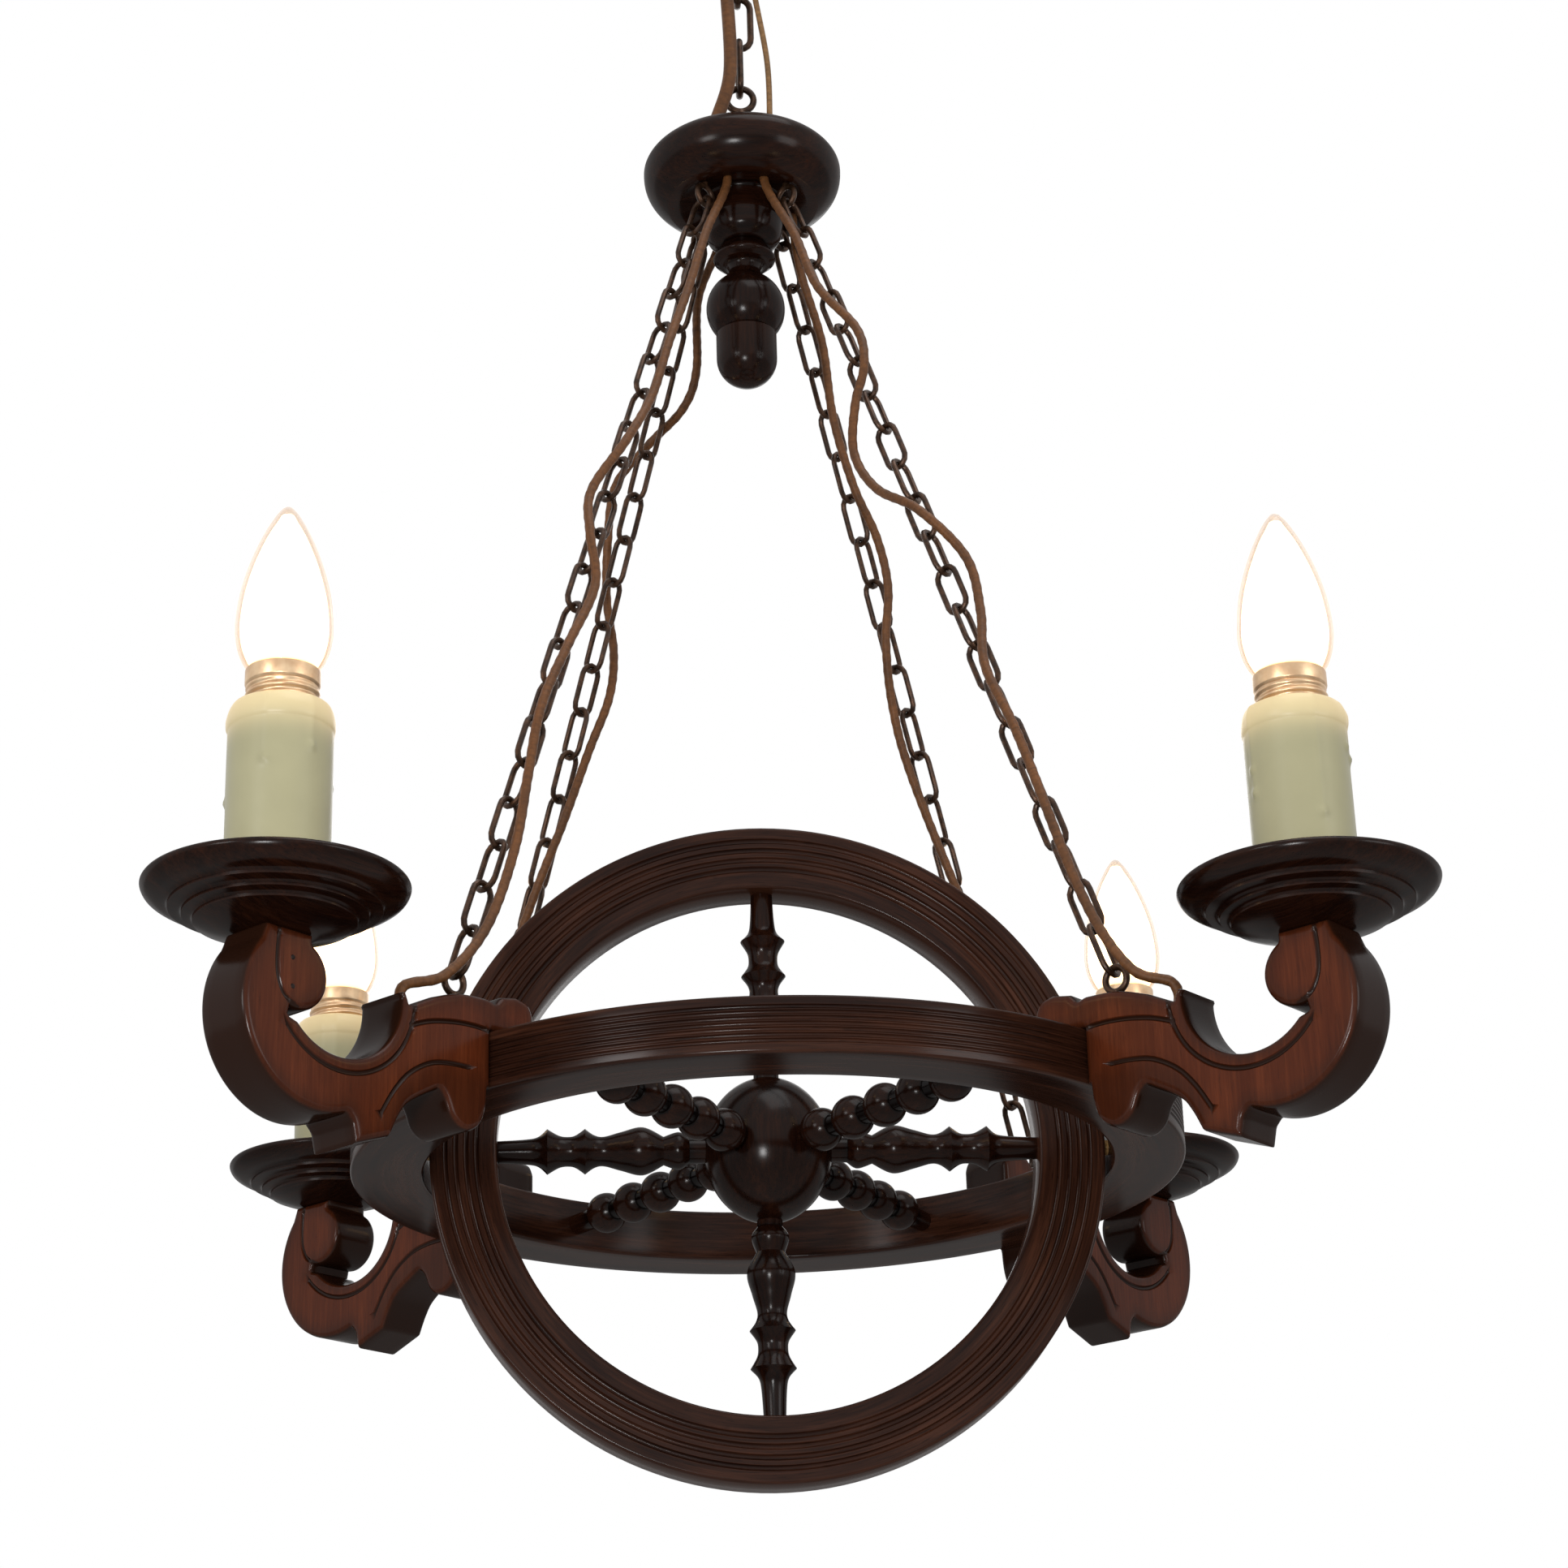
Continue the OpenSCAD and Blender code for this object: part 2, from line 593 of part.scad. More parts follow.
module scroll_nails() {
    color("#1a1512") at_wheel() rotate([0, 0, FL]) for (p = nail_at)
        translate([p[0], arm_t / 2 + 0.3, p[1]]) rotate([90, 0, 0]) cylinder(d = nail_d, h = nail_l);
}

// ---------- wheel ----------

// Section of a ring: a block with small chamfers
module ring_section(r_in, r_out, h) {
    e = ring_edge;
    polygon([
        [r_in + e, -h / 2], [r_out - e, -h / 2], [r_out, -h / 2 + e], [r_out, h / 2 - e],
        [r_out - e, h / 2], [r_in + e, h / 2], [r_in, h / 2 - e], [r_in, -h / 2 + e]
    ]);
}

module rim_horizontal() {
    color(ring_wood) at_wheel() difference() {
        rotate_extrude($fn = 96) difference() {
            ring_section(flat_in_r, flat_ring_r, flat_ring_h);
            for (k = [-3:3]) translate([flat_ring_r, fine_groove_pitch * k]) circle(r = fine_groove_r);
        }
        for (a = QUADRANTS) rotate([0, 0, a]) translate([flat_ring_r - 12.3, 0, 0]) rotate([0, 90, 0])
            cylinder(d = arm_dowel_d + 2 * bore_gap, h = 12.3 + past);
        for (s = [0, 180]) rotate([0, 0, s]) translate([flat_in_r - past, 0, 0]) rotate([0, 90, 0])
            cylinder(d = ring_dowel_d + 2 * bore_gap, h = ring_dowel_in + 0.3 + past);
        for (a = BOBBIN_AT) rotate([0, 0, a]) translate([flat_in_r - past, 0, 0]) rotate([0, 90, 0])
            cylinder(d = tenon_d + 2 * bore_gap, h = tenon_l + 0.3 + past);
    }
}

module rim_vertical() {
    color(ring_wood) at_wheel() rotate([90, 0, 0]) difference() {
        rotate_extrude($fn = 96) difference() {
            ring_section(upright_in_r, upright_ring_r, upright_ring_t);
            for (s = [-1, 1]) for (k = [0:3])
                translate([upright_in_r + 8 + 4 * k, s * upright_ring_t / 2]) circle(r = reed_groove_r);
        }
        for (s = [0, 180]) rotate([0, 0, s]) translate([upright_ring_r - ring_dowel_in - 0.3, 0, 0])
            rotate([0, 90, 0]) cylinder(d = ring_dowel_d + 2 * bore_gap, h = ring_dowel_in + 0.3 + past);
        for (a = [0, 90, 180, 270]) rotate([0, 0, a]) translate([upright_in_r - past, 0, 0])
            rotate([0, 90, 0]) cylinder(d = tenon_d + 2 * bore_gap, h = tenon_l + 0.3 + past);
    }
}

module rim_dowels() {
    low = upright_ring_r - ring_dowel_in;
    color("burlywood") at_wheel() for (s = [0, 180]) rotate([0, 0, s]) translate([low, 0, 0])
        rotate([0, 90, 0]) cylinder(d = ring_dowel_d, h = flat_in_r + ring_dowel_in - low);
}

// Where the spokes' shoulders stand on the hub: level and upright
shoulder_r = 5;
seat_level = hub_r * sqrt(1 - pow(shoulder_r / hub_r, 2)) - 0.3;
seat_upright = hub_half_h * sqrt(1 - pow(shoulder_r / hub_r, 2)) - 0.3;
BOBBIN_AT = [180 + bobbin_angle, -bobbin_angle, 180 - bobbin_angle, bobbin_angle];

// One spoke hole with its flat seat
module spoke_hole(seat) {
    translate([0, 0, seat]) cylinder(r = shoulder_r + 0.3, h = hub_half_h);
    translate([0, 0, seat - tenon_l - 0.3]) cylinder(d = tenon_d + 2 * bore_gap, h = tenon_l + past);
}

module hub_ball() {
    color(dark_wood) at_wheel() difference() {
        rotate_extrude() polygon([for (a = [-90:7.5:90]) [hub_r * cos(a), hub_half_h * sin(a)]]);
        for (t = [0, 180]) rotate([0, t, 0]) spoke_hole(seat_upright);
        for (t = [90, -90]) rotate([0, t, 0]) spoke_hole(seat_level);
        for (a = BOBBIN_AT) rotate([0, 0, a]) rotate([0, 90, 0]) spoke_hole(seat_level);
    }
}

// Baluster along Z, from the hub's seat to the upright ring. f runs from 0 at the hub's level
// radius to 1 at the ring
module baluster(seat) {
    free = upright_in_r - hub_r;
    function at(f, r) = [r, hub_r + f * free];
    collar = spline([[shoulder_r, hub_r + 0.071 * free], at(0.121, 7.4), at(0.195, 5.6)], 3);
    bulb = spline([at(0.195, 5.6), at(0.295, baluster_r), at(0.40, 7.6), at(0.483, 5.8), at(0.53, 6.4),
        at(0.575, 8.9)], 4);
    waist = spline([at(0.575, 8.9), at(0.62, 6.4), at(0.655, 5.8), at(0.70, 6.3), at(0.757, 8.9)], 3);
    shank = spline([at(0.757, 8.9), at(0.80, 5.9), at(0.86, 4.9), [4.3, upright_in_r - glue_gap]], 3);
    turned(concat(
        [[tenon_d / 2, seat - tenon_l], [tenon_d / 2, seat], [shoulder_r, seat]],
        collar, bulb, waist, shank,
        [[tenon_d / 2, upright_in_r - glue_gap], [tenon_d / 2, upright_in_r + tenon_l]]));
}

module spoke_left() {
    color(dark_wood) at_wheel() rotate([0, -90, 0]) baluster(seat_level);
}

module spoke_right() {
    color(dark_wood) at_wheel() rotate([0, 90, 0]) baluster(seat_level);
}

module spoke_top() {
    color(dark_wood) at_wheel() baluster(seat_upright);
}

module spoke_bottom() {
    color(dark_wood) at_wheel() rotate([180, 0, 0]) baluster(seat_upright);
}

// Bobbin spoke: a row of beads on a thin core, from the hub to the flat ring
module bobbin(angle) {
    core_r = 4.2;
    first = hub_r + bead_r + 0.9;
    bead_pitch = (flat_in_r - bead_margin - first) / (bead_count - 1);
    color(dark_wood) at_wheel() rotate([0, 0, angle]) rotate([0, 90, 0]) {
        translate([0, 0, seat_level - tenon_l]) cylinder(d = tenon_d, h = tenon_l + past);
        translate([0, 0, seat_level]) cylinder(r = core_r, h = flat_in_r - glue_gap - seat_level);
        for (k = [0:bead_count - 1]) translate([0, 0, first + k * bead_pitch]) sphere(r = bead_r);
        translate([0, 0, flat_in_r - past]) cylinder(d = tenon_d, h = tenon_l + past);
    }
}

// ---------- lights ----------

// Turned dish with stepped rings under its rim and a shallow floor
module drip_pan(angle) {
    r = pan_r;
    under = concat(
        [[13, 0]],
        spline([[15.5, 0.8], [r - 23, 3.2], [r - 18.2, 5]], 3),
        spline([[r - 18.2, 6.1], [r - 17.2, 6.8], [r - 14.4, 7.4]], 2),
        spline([[r - 14.4, 8.5], [r - 13.2, 9.3], [r - 9.6, 9.9]], 2),
        spline([[r - 9.6, 11], [r - 8.4, 11.8], [r - 4.6, 12.9], [r - 1.4, pan_h - 4.6], [r, pan_h - 2],
            [r - 0.6, pan_h - 0.5], [r - 1.8, pan_h]], 3));
    floor_edge = spline([[r - 3.4, pan_h - 0.3], [r - 5.5, pan_h - 1.5], [r - 8, pan_h - 2]], 2);
    color(dark_wood) at_lamp(angle) translate([0, 0, arm_top]) difference() {
        turned(concat(under, floor_edge));
        translate([0, 0, -past]) cylinder(d = nipple_d + 2 * bore_gap, h = pan_h + past);
    }
}

module lamp_nipples() {
    color(brass) for (a = QUADRANTS) at_lamp(a) translate([0, 0, nipple_low]) difference() {
        cylinder(d = nipple_d, h = nipple_top - nipple_low);
        translate([0, 0, -past]) cylinder(d = nipple_d - 3, h = nipple_top - nipple_low + 2 * past);
    }
}

module lamp_nuts() {
    color(brass) for (a = QUADRANTS) at_lamp(a) translate([0, 0, pan_floor]) difference() {
        cylinder(d = nut_d, h = nut_h, $fn = 6);
        translate([0, 0, -past]) cylinder(d = nipple_d + 2 * bore_gap, h = nut_h + 2 * past);
    }
}

module lamp_holders() {
    socket_low = cap_low - bulb_gap;
    color("ivory") for (a = QUADRANTS) at_lamp(a) difference() {
        translate([0, 0, holder_low]) cylinder(r = holder_r, h = holder_top - holder_low);
        translate([0, 0, socket_low]) cylinder(r = cap_r + bulb_gap, h = holder_top);
        translate([0, 0, holder_low - past])
            cylinder(d = nipple_d + 2 * bore_gap, h = nipple_top - holder_low + past + 0.3);
        translate([0, 0, nipple_top]) cylinder(d = nipple_d - 3, h = socket_low - nipple_top + past);
    }
}

// Candle tube with a thicker lip where the wax has run
module candle_sleeve(angle) {
    lip = 0.6;
    outside = concat(
        [[sleeve_r, pan_floor]],
        spline([[sleeve_r, sleeve_top - 9], [sleeve_r + lip, sleeve_top - 4],
            [sleeve_r + lip, sleeve_top - 1.2], [sleeve_r - 0.4, sleeve_top]], 3));
    color(wax) at_lamp(angle) difference() {
        turned(outside);
        translate([0, 0, pan_floor - past]) cylinder(r = sleeve_r - sleeve_wall, h = sleeve_l + 2 * past);
    }
}

// Screw cap: contact, skirt, rounded threads and a collar
module bulb_cap(angle) {
    tip_r = 4.5;
    skirt = 6;
    turns = 4;
    thread = (cap_l - skirt - 7) / turns;
    threads = [for (k = [0:turns - 1]) each [
        [cap_r - 0.9, cap_low + skirt + k * thread],
        [cap_r, cap_low + skirt + (k + 0.35) * thread],
        [cap_r, cap_low + skirt + (k + 0.65) * thread]]];
    outline = concat([[tip_r, cap_low], [tip_r, cap_low + 1.5], [cap_r - 3, cap_low + skirt - 1]], threads,
        [[cap_r - 0.9, cap_top - 6.5], [cap_r, cap_top - 5.5], [cap_r, cap_top]]);
    color(brass) at_lamp(angle) difference() {
        turned(outline);
        translate([0, 0, cap_top - 4]) cylinder(r = cap_r - 0.7, h = 4 + past);
    }
}

// Candle-shaped glass, hollow and open at its neck
function glass_line(inset) = spline([
    [cap_r - 0.9 - inset, cap_top - 3.5], [cap_r - 0.9 - inset, cap_top],
    [15 - inset, cap_top + glass_l * 0.07],
    [glass_r - 0.8 - inset, cap_top + glass_l * 0.155], [glass_r - inset, cap_top + glass_l * 0.27],
    [glass_r * 0.93 - inset, cap_top + glass_l * 0.45], [glass_r * 0.76 - inset, cap_top + glass_l * 0.63],
    [glass_r * 0.52 - inset, cap_top + glass_l * 0.8],
    [glass_r * 0.27 - inset * 0.7, cap_top + glass_l * 0.93 - inset * 0.6],
    [glass_r * 0.1, cap_top + glass_l * 0.99 - inset]], 3);

module bulb_glass(angle) {
    outer = glass_line(0);
    inner = glass_line(glass_wall);
    color([1, 0.97, 0.85, 0.6]) at_lamp(angle) rotate_extrude() polygon(concat(
        outer, [[0, cap_top + glass_l]], [[0, cap_top + glass_l - glass_wall]], flip(inner)));
}

ceiling_plate();
ceiling_hook();
cord_connector();
supply_cord();
earth_wire();
suspension_link_top();
suspension_links();
canopy_eye();
canopy_lid();
canopy_disc();
canopy_terminal();
canopy_rod();
finial();
canopy_hooks();
chain(FL);  // chain_fl
chain(FR);  // chain_fr
chain(BL);  // chain_bl
chain(BR);  // chain_br
cord(FL, ROUTE_FL);  // cord_fl
cord(FR, ROUTE_FR);  // cord_fr
cord(BL, ROUTE_BL);  // cord_bl
cord(BR, ROUTE_BR);  // cord_br
arm_hooks();
scroll_arm(FL, nails = true);  // arm_fl
scroll_arm(FR);  // arm_fr
scroll_arm(BL);  // arm_bl
scroll_arm(BR);  // arm_br
arm_dowels();
scroll_nails();
rim_horizontal();
rim_vertical();
rim_dowels();
hub_ball();
spoke_left();
spoke_right();
spoke_top();
spoke_bottom();
bobbin(BOBBIN_AT[0]);  // bobbin_fl
bobbin(BOBBIN_AT[1]);  // bobbin_fr
bobbin(BOBBIN_AT[2]);  // bobbin_bl
bobbin(BOBBIN_AT[3]);  // bobbin_br
drip_pan(FL);  // drip_pan_fl
drip_pan(FR);  // drip_pan_fr
drip_pan(BL);  // drip_pan_bl
drip_pan(BR);  // drip_pan_br
lamp_nipples();
lamp_nuts();
lamp_holders();
candle_sleeve(FL);  // candle_sleeve_fl
candle_sleeve(FR);  // candle_sleeve_fr
candle_sleeve(BL);  // candle_sleeve_bl
candle_sleeve(BR);  // candle_sleeve_br
bulb_cap(FL);  // bulb_cap_fl
bulb_cap(FR);  // bulb_cap_fr
bulb_cap(BL);  // bulb_cap_bl
bulb_cap(BR);  // bulb_cap_br
bulb_glass(FL);  // bulb_glass_fl
bulb_glass(FR);  // bulb_glass_fr
bulb_glass(BL);  // bulb_glass_bl
bulb_glass(BR);  // bulb_glass_br
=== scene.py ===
"""Hanging light of dark turned wood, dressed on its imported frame.

Lengths in this file are millimetres above the middle of the wheel, until to_row() puts them in the
row's own frame, in metres. A quadrant is an angle from +X: front left, front right, back left and
back right.
"""

import math
from functools import wraps

import bmesh
import bpy
import numpy as np
from bpy.props import FloatProperty, FloatVectorProperty, IntProperty, PointerProperty
from mathutils import Matrix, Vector
from mathutils.geometry import delaunay_2d_cdt


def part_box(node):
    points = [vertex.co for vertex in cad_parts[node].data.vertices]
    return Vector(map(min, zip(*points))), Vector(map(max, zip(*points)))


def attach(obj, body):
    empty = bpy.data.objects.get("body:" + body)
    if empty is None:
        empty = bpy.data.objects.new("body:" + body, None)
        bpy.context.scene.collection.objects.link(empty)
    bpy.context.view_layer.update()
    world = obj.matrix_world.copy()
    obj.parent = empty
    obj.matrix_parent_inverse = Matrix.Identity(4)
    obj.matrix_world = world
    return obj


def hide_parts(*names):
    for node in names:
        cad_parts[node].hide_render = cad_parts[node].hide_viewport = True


bl_info = {
    "name": "Turned wood hanging light",
    "version": (1, 0, 0),
    "blender": (4, 5, 0),
    "location": "View3D > Sidebar > Hanging light",
    "description": "Turns, saws and finishes every piece of a hanging light on its packed frame",
    "category": "Add Mesh",
}

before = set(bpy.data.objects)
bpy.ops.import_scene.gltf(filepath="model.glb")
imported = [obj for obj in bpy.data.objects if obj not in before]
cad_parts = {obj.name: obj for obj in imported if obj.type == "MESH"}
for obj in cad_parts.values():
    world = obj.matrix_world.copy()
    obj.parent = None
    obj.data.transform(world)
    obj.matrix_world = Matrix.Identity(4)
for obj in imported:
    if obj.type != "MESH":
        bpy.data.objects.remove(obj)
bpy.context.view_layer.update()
MM = 0.001


def middle(node):
    """Middle of a CAD node's box, in millimetres in the row frame."""
    low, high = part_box(node)
    return (np.array(low) + np.array(high)) / 2 / MM


WHEEL_Z = middle("rim_horizontal")[2]
LAMP_U = math.hypot(*middle("drip_pan_fr")[:2])

QUADRANTS = {"fl": 225, "fr": 315, "bl": 135, "br": 45}

# Sizes that the CAD source holds, in millimetres
FLAT_RING = {"outer": 162.5, "inner": 134.5, "half": 10.5}
UPRIGHT_RING = {"outer": 132.0, "inner": 106.0, "half": 10.25}
RING_EDGE, REED_FIRST, REED_PITCH, REED_COUNT = 1.2, 8.0, 4.0, 4
FINE_PITCH, FINE_COUNT = 2.05, 7
HUB_R, HUB_HALF = 25.2, 29.0
SHOULDER_R, TENON_R, TENON_L, SEAT_IN = 5.0, 3.5, 8.0, 0.3
BALUSTER_R = 9.4
BEAD_R, BEAD_PITCH, BEAD_COUNT, CORE_R = 8.4, 19.5, 5, 4.2
BOBBIN_ANGLES = {"fl": 237, "fr": -57, "bl": 123, "br": 57}
ARM_T, ARM_TOP = 23.0, 26.0
PAN_R, PAN_H, PAN_SHY = 46.3, 19.5, 0.05
PAN_FLOOR = ARM_TOP + PAN_H - 2
SLEEVE_R, SLEEVE_WALL, SLEEVE_L, WAX_RUNS = 18.4, 1.6, 67.0, 6
SLEEVE_TOP = PAN_FLOOR + SLEEVE_L
CAP_R, CAP_L, CAP_TURNS = 13.25, 26.0, 4
CAP_TOP = SLEEVE_TOP + 14
GLASS_R, GLASS_L, GLASS_WALL = 17.75, 65.0, 0.9
LINK_PITCH, LINK_W, LINK_WIRE, LINK_COUNT = 19.7, 11.4, 2.4, 21
LINK_GAP = 0.2
EYE_R, EYE_WIRE, SHANK_R, SHANK_L = 4.7, 2.6, 1.5, 12.0
EYE_TOP_U, EYE_LOW_U = 25.0, 7.5
CANOPY_R, CANOPY_HALF, CANOPY_BULGE, STEM_L = 43.5, 16.0, 22.0, 30.0
FINIAL_BALL_R, FINIAL_L, FINIAL_TIP_R = 17.1, 60.0, 13.1
HEAVY_PITCH, HEAVY_W, HEAVY_WIRE = 24.0, 14.0, 3.0
LOOP_R, LOOP_STEM = 6.0, 21.0
HOOK_R, HOOK_WIRE = 9.0, 4.0
BORE_R = 5.1

# Heights that follow from them
FLAT_TOP = FLAT_RING["half"]
EYE_LOW_Z = FLAT_TOP + 11.4 + EYE_R + 3
EYE_DROP = CANOPY_HALF + EYE_R + 1.3
CHAIN_L = LINK_COUNT * LINK_PITCH + 2 * (EYE_R - EYE_WIRE / 2)
CHAIN_RUN = FLAT_RING["outer"] + EYE_LOW_U - EYE_TOP_U
CHAIN_RISE = math.sqrt(CHAIN_L**2 - CHAIN_RUN**2)
CANOPY_Z = EYE_LOW_Z + CHAIN_RISE + EYE_DROP
CANOPY_FLAT = 0.75 * CANOPY_HALF
CANOPY_TOP = CANOPY_Z + CANOPY_FLAT
LOOP_Z = CANOPY_TOP + LOOP_STEM + LOOP_R
HEAVY_LOW = LOOP_Z + LOOP_R - HEAVY_WIRE / 2
HOOK_Z = HEAVY_LOW + 3 * HEAVY_PITCH + HOOK_R - HOOK_WIRE / 2
CONNECTOR_LOW = HOOK_Z - HOOK_R - 1 - 8.5

# Routes of the free cords, as the CAD source has them: distance out, distance aside, height
ROUTES = {
    "fl": [(22, 10, 446), (22, 10, 427), (36, 10.5, 398), (47, 9.5, 366), (60, 9.5, 334),
           (71, 9.5, 304), (86, 9, 278), (100, 2.5, 252), (105, 6.5, 230), (105.5, 9.5, 206),
           (120.5, 9.5, 176), (135, 9.5, 146), (142, 9.5, 116), (149, 9.5, 84), (163, 9.5, 50),
           (181, 7.5, 28), (195, 0.5, 22), (196, 0, 10.5)],
    "fr": [(22, -10, 446), (22, -10, 427), (37, -9.5, 396), (48.5, -9.5, 366), (66, -6, 340),
           (71, -8, 320), (66.5, -9.5, 302), (65, -9.5, 280), (76, -9.5, 260), (97, -9.5, 243),
           (112.5, -0.5, 220), (119, -1.5, 194), (125, -8.5, 166), (139, -8.5, 132),
           (163.5, -9, 62), (181, -7, 30), (195, -0.5, 22), (196, 0, 10.5)],
    "bl": [(22, -10, 446), (22, -10, 427), (36, -9.5, 402), (37, -8.5, 366), (46, -9, 350),
           (66, -8, 339), (79, 0, 320), (85, -1, 294), (91, -6.5, 270), (90, -9.5, 246),
           (91, -7.5, 224), (99, -3, 200), (110, 2, 168), (125, 7, 132), (163, 9.5, 54),
           (181, 7, 29), (195, 0.5, 22), (196, 0, 10.5)],
    "br": [(22, -10, 446), (22, -10, 427), (27, -9.5, 404), (40, -9.5, 374), (47, -8.5, 340),
           (59, -9, 310), (73, -9.5, 290), (79.5, -9.5, 268), (82, -5, 244), (91, 0, 218),
           (102, 0.5, 190), (122, -6, 140), (138, -9.5, 110), (163, -9.5, 50), (181, -7, 29),
           (195, -0.5, 22), (196, 0, 10.5)],
}
ROUTE_SUPPLY = [(-12, -8, 452), (-12, -8.5, 466), (-5, -12, 492), (-6, -15, 536),
                (-6, -15, CONNECTOR_LOW - 0.1)]
ROUTE_EARTH = [(12, -5, 452), (12.5, -5, 466), (12, -8, 500), (6, -15, 536),
               (6, -15, CONNECTOR_LOW - 0.1)]
CORD_D, SUPPLY_D, EARTH_D = 4.0, 6.0, 2.6
CORD_STEP, CORD_TWIST, CORD_SIDES = 1.6, 11.0, 14


def linear(code):
    """Linear colour of an sRGB hex code."""
    v = np.array([int(code[i:i + 2], 16) / 255 for i in (1, 3, 5)])
    return tuple(np.where(v <= 0.04045, v / 12.92, ((v + 0.055) / 1.055) ** 2.4).tolist())


# ---------------------------------------------------------------- settings

def colour(name, description, code):
    """Setting for a colour."""
    return FloatVectorProperty(name=name, description=description, subtype="COLOR", size=3,
                               min=0, max=1, default=linear(code))


def length(name, description, default, low, high):
    """Setting for a length, from millimetres."""
    return FloatProperty(name=name, description=description, default=default * MM,
                         min=low * MM, max=high * MM, unit="LENGTH", subtype="DISTANCE")


class LightFinish(bpy.types.PropertyGroup):
    """Colours of the light"""
    stain: colour("Stain", "Dark stain on the turned wood", "#100604")
    stain_light: colour("Stain, light grain", "Where the dark stain wears thin", "#2c160c")
    ring: colour("Ring", "Stained wood of the two rings", "#1d0e09")
    ring_light: colour("Ring, light grain", "Light grain of the two rings", "#44281c")
    board: colour("Board", "Sawn faces of the arms", "#4a200f")
    board_light: colour("Board, light grain", "Light grain of the sawn faces", "#643019")
    # The edge tone also paints the shade on the arms' roots, under the lower carved line
    edge: colour("Board edge", "Stained edges and carved lines of the arms", "#26140c")
    bronze: colour("Bronze lacquer", "Chains and screw eyes", "#3b2617")
    cord: colour("Cord", "Sheath of the cords along the chains", "#664021")
    wax: colour("Candle", "Moulded candle tubes", "#aea987")
    glow: colour("Bulb glow", "Light of the bulbs", "#ffd198")
    glow_strength: FloatProperty(name="Glow", description="Strength of the bulbs' glow",
                                 default=20.0, min=0, max=30)


class LightSizes(bpy.types.PropertyGroup):
    """Fine sizes that only the dressed light has"""
    reed: length("Reed groove", "Radius of the grooves on the upright ring", 1.1, 0.5, 1.5)
    fine_reed: length("Fine groove", "Radius of the grooves round the flat ring", 0.8, 0.4, 0.95)
    carving: length("Carved line", "Depth of the carved lines on the arms", 1.1, 0.5, 1.6)
    wax_run: length("Wax run", "Thickness of the wax runs on the candle tubes", 0.55, 0.2, 1.2)
    round_over: length("Round-over", "Radius on the arms' sawn edges", 2.4, 0.5, 3)
    turns: IntProperty(name="Turning steps", description="Facets round a large turned piece",
                       default=160, min=48, max=256)


class LightView(bpy.types.PropertyGroup):
    """Camera and floor"""
    lens: FloatProperty(name="Lens", description="Focal length of the photograph's camera",
                        default=75.47 * MM, min=0.02, max=0.3, unit="CAMERA")
    floor: length("Floor", "Height of the floor below the ceiling", -2300, -4000, -1000)


# ---------------------------------------------------------------- curves and surfaces

def unit(v):
    """The same directions with a length of 1."""
    return v / np.linalg.norm(v, axis=-1, keepdims=True)


def spline(points, steps=4):
    """Catmull-Rom curve: each stretch is the cubic that leaves and meets its two points at half
    the line between their neighbours."""
    p = np.asarray(points, float)
    q = np.vstack([p[:1], p, p[-1:]])[:, None]
    a, b, c, d = q[:-3], q[1:-2], q[2:-1], q[3:]
    s = np.linspace(0, 1, steps, endpoint=False)[:, None]
    curve = b + 0.5 * ((c - a) * s + (2 * a - 5 * b + 4 * c - d) * s**2
                       + (3 * b - a - 3 * c + d) * s**3)
    return np.vstack([curve.reshape(-1, p.shape[1]), p[-1:]])


def arc(centre, radius, start, end, steps=12):
    """Points at one distance from the centre, from one angle to the other."""
    a = np.radians(np.linspace(start, end, steps + 1))
    return np.stack([centre[0] + radius * np.cos(a), centre[1] + radius * np.sin(a)], 1)


def even(line, step, closed=False):
    """The same line with its points a step apart, by length along it."""
    p = np.vstack([line, line[:1]]) if closed else np.asarray(line, float)
    far = np.concatenate([[0], np.cumsum(np.linalg.norm(np.diff(p, axis=0), axis=1))])
    count = max(2, int(round(far[-1] / step)))
    at = np.linspace(0, far[-1], count + 1)[:count if closed else None]
    return np.stack([np.interp(at, far, p[:, k]) for k in range(p.shape[1])], 1)


def turn(points, axis, angle):
    """Points turned about an axis through the origin."""
    return points @ np.array(Matrix.Rotation(math.radians(angle), 3, axis)).T


def quads(rows, columns, wrap_rows, wrap_columns):
    """Faces of a grid whose point (i, j) has the number i * columns + j."""
    i = np.arange(rows if wrap_rows else rows - 1)[:, None]
    j = np.arange(columns if wrap_columns else columns - 1)[None, :]
    low, high = i * columns, (i + 1) % rows * columns
    after = (j + 1) % columns
    return np.stack([low + j, high + j, high + after, low + after], -1).reshape(-1, 4)


def outward(points, faces):
    """The faces with their order turned round where the volume that they close is negative."""
    corner = points[faces[:, 0]]
    volume = sum((corner * np.cross(points[faces[:, k]], points[faces[:, k + 1]])).sum()
                 for k in range(1, faces.shape[1] - 1))
    return faces if volume > 0 else faces[:, ::-1]


class Surface:
    """Points in millimetres, faces, the way of the grain at each point, and the depth of the
    stain there: 1 in a groove, 0 on the flat and -1 on a worn edge. On the scroll arms it also
    carries painted shade near the wheel."""

    def __init__(self, points, faces, grain=None, stain=None):
        self.points = points
        self.faces = [outward(points, faces)]
        self.grain = points.copy() if grain is None else grain
        self.stain = np.zeros(len(points)) if stain is None else stain

    def turned(self, axis, angle):
        """Turns it about an axis through the origin."""
        self.points = turn(self.points, axis, angle)
        return self

    def moved(self, *offset):
        """Moves it by millimetres."""
        self.points = self.points + np.array(offset, float)
        return self


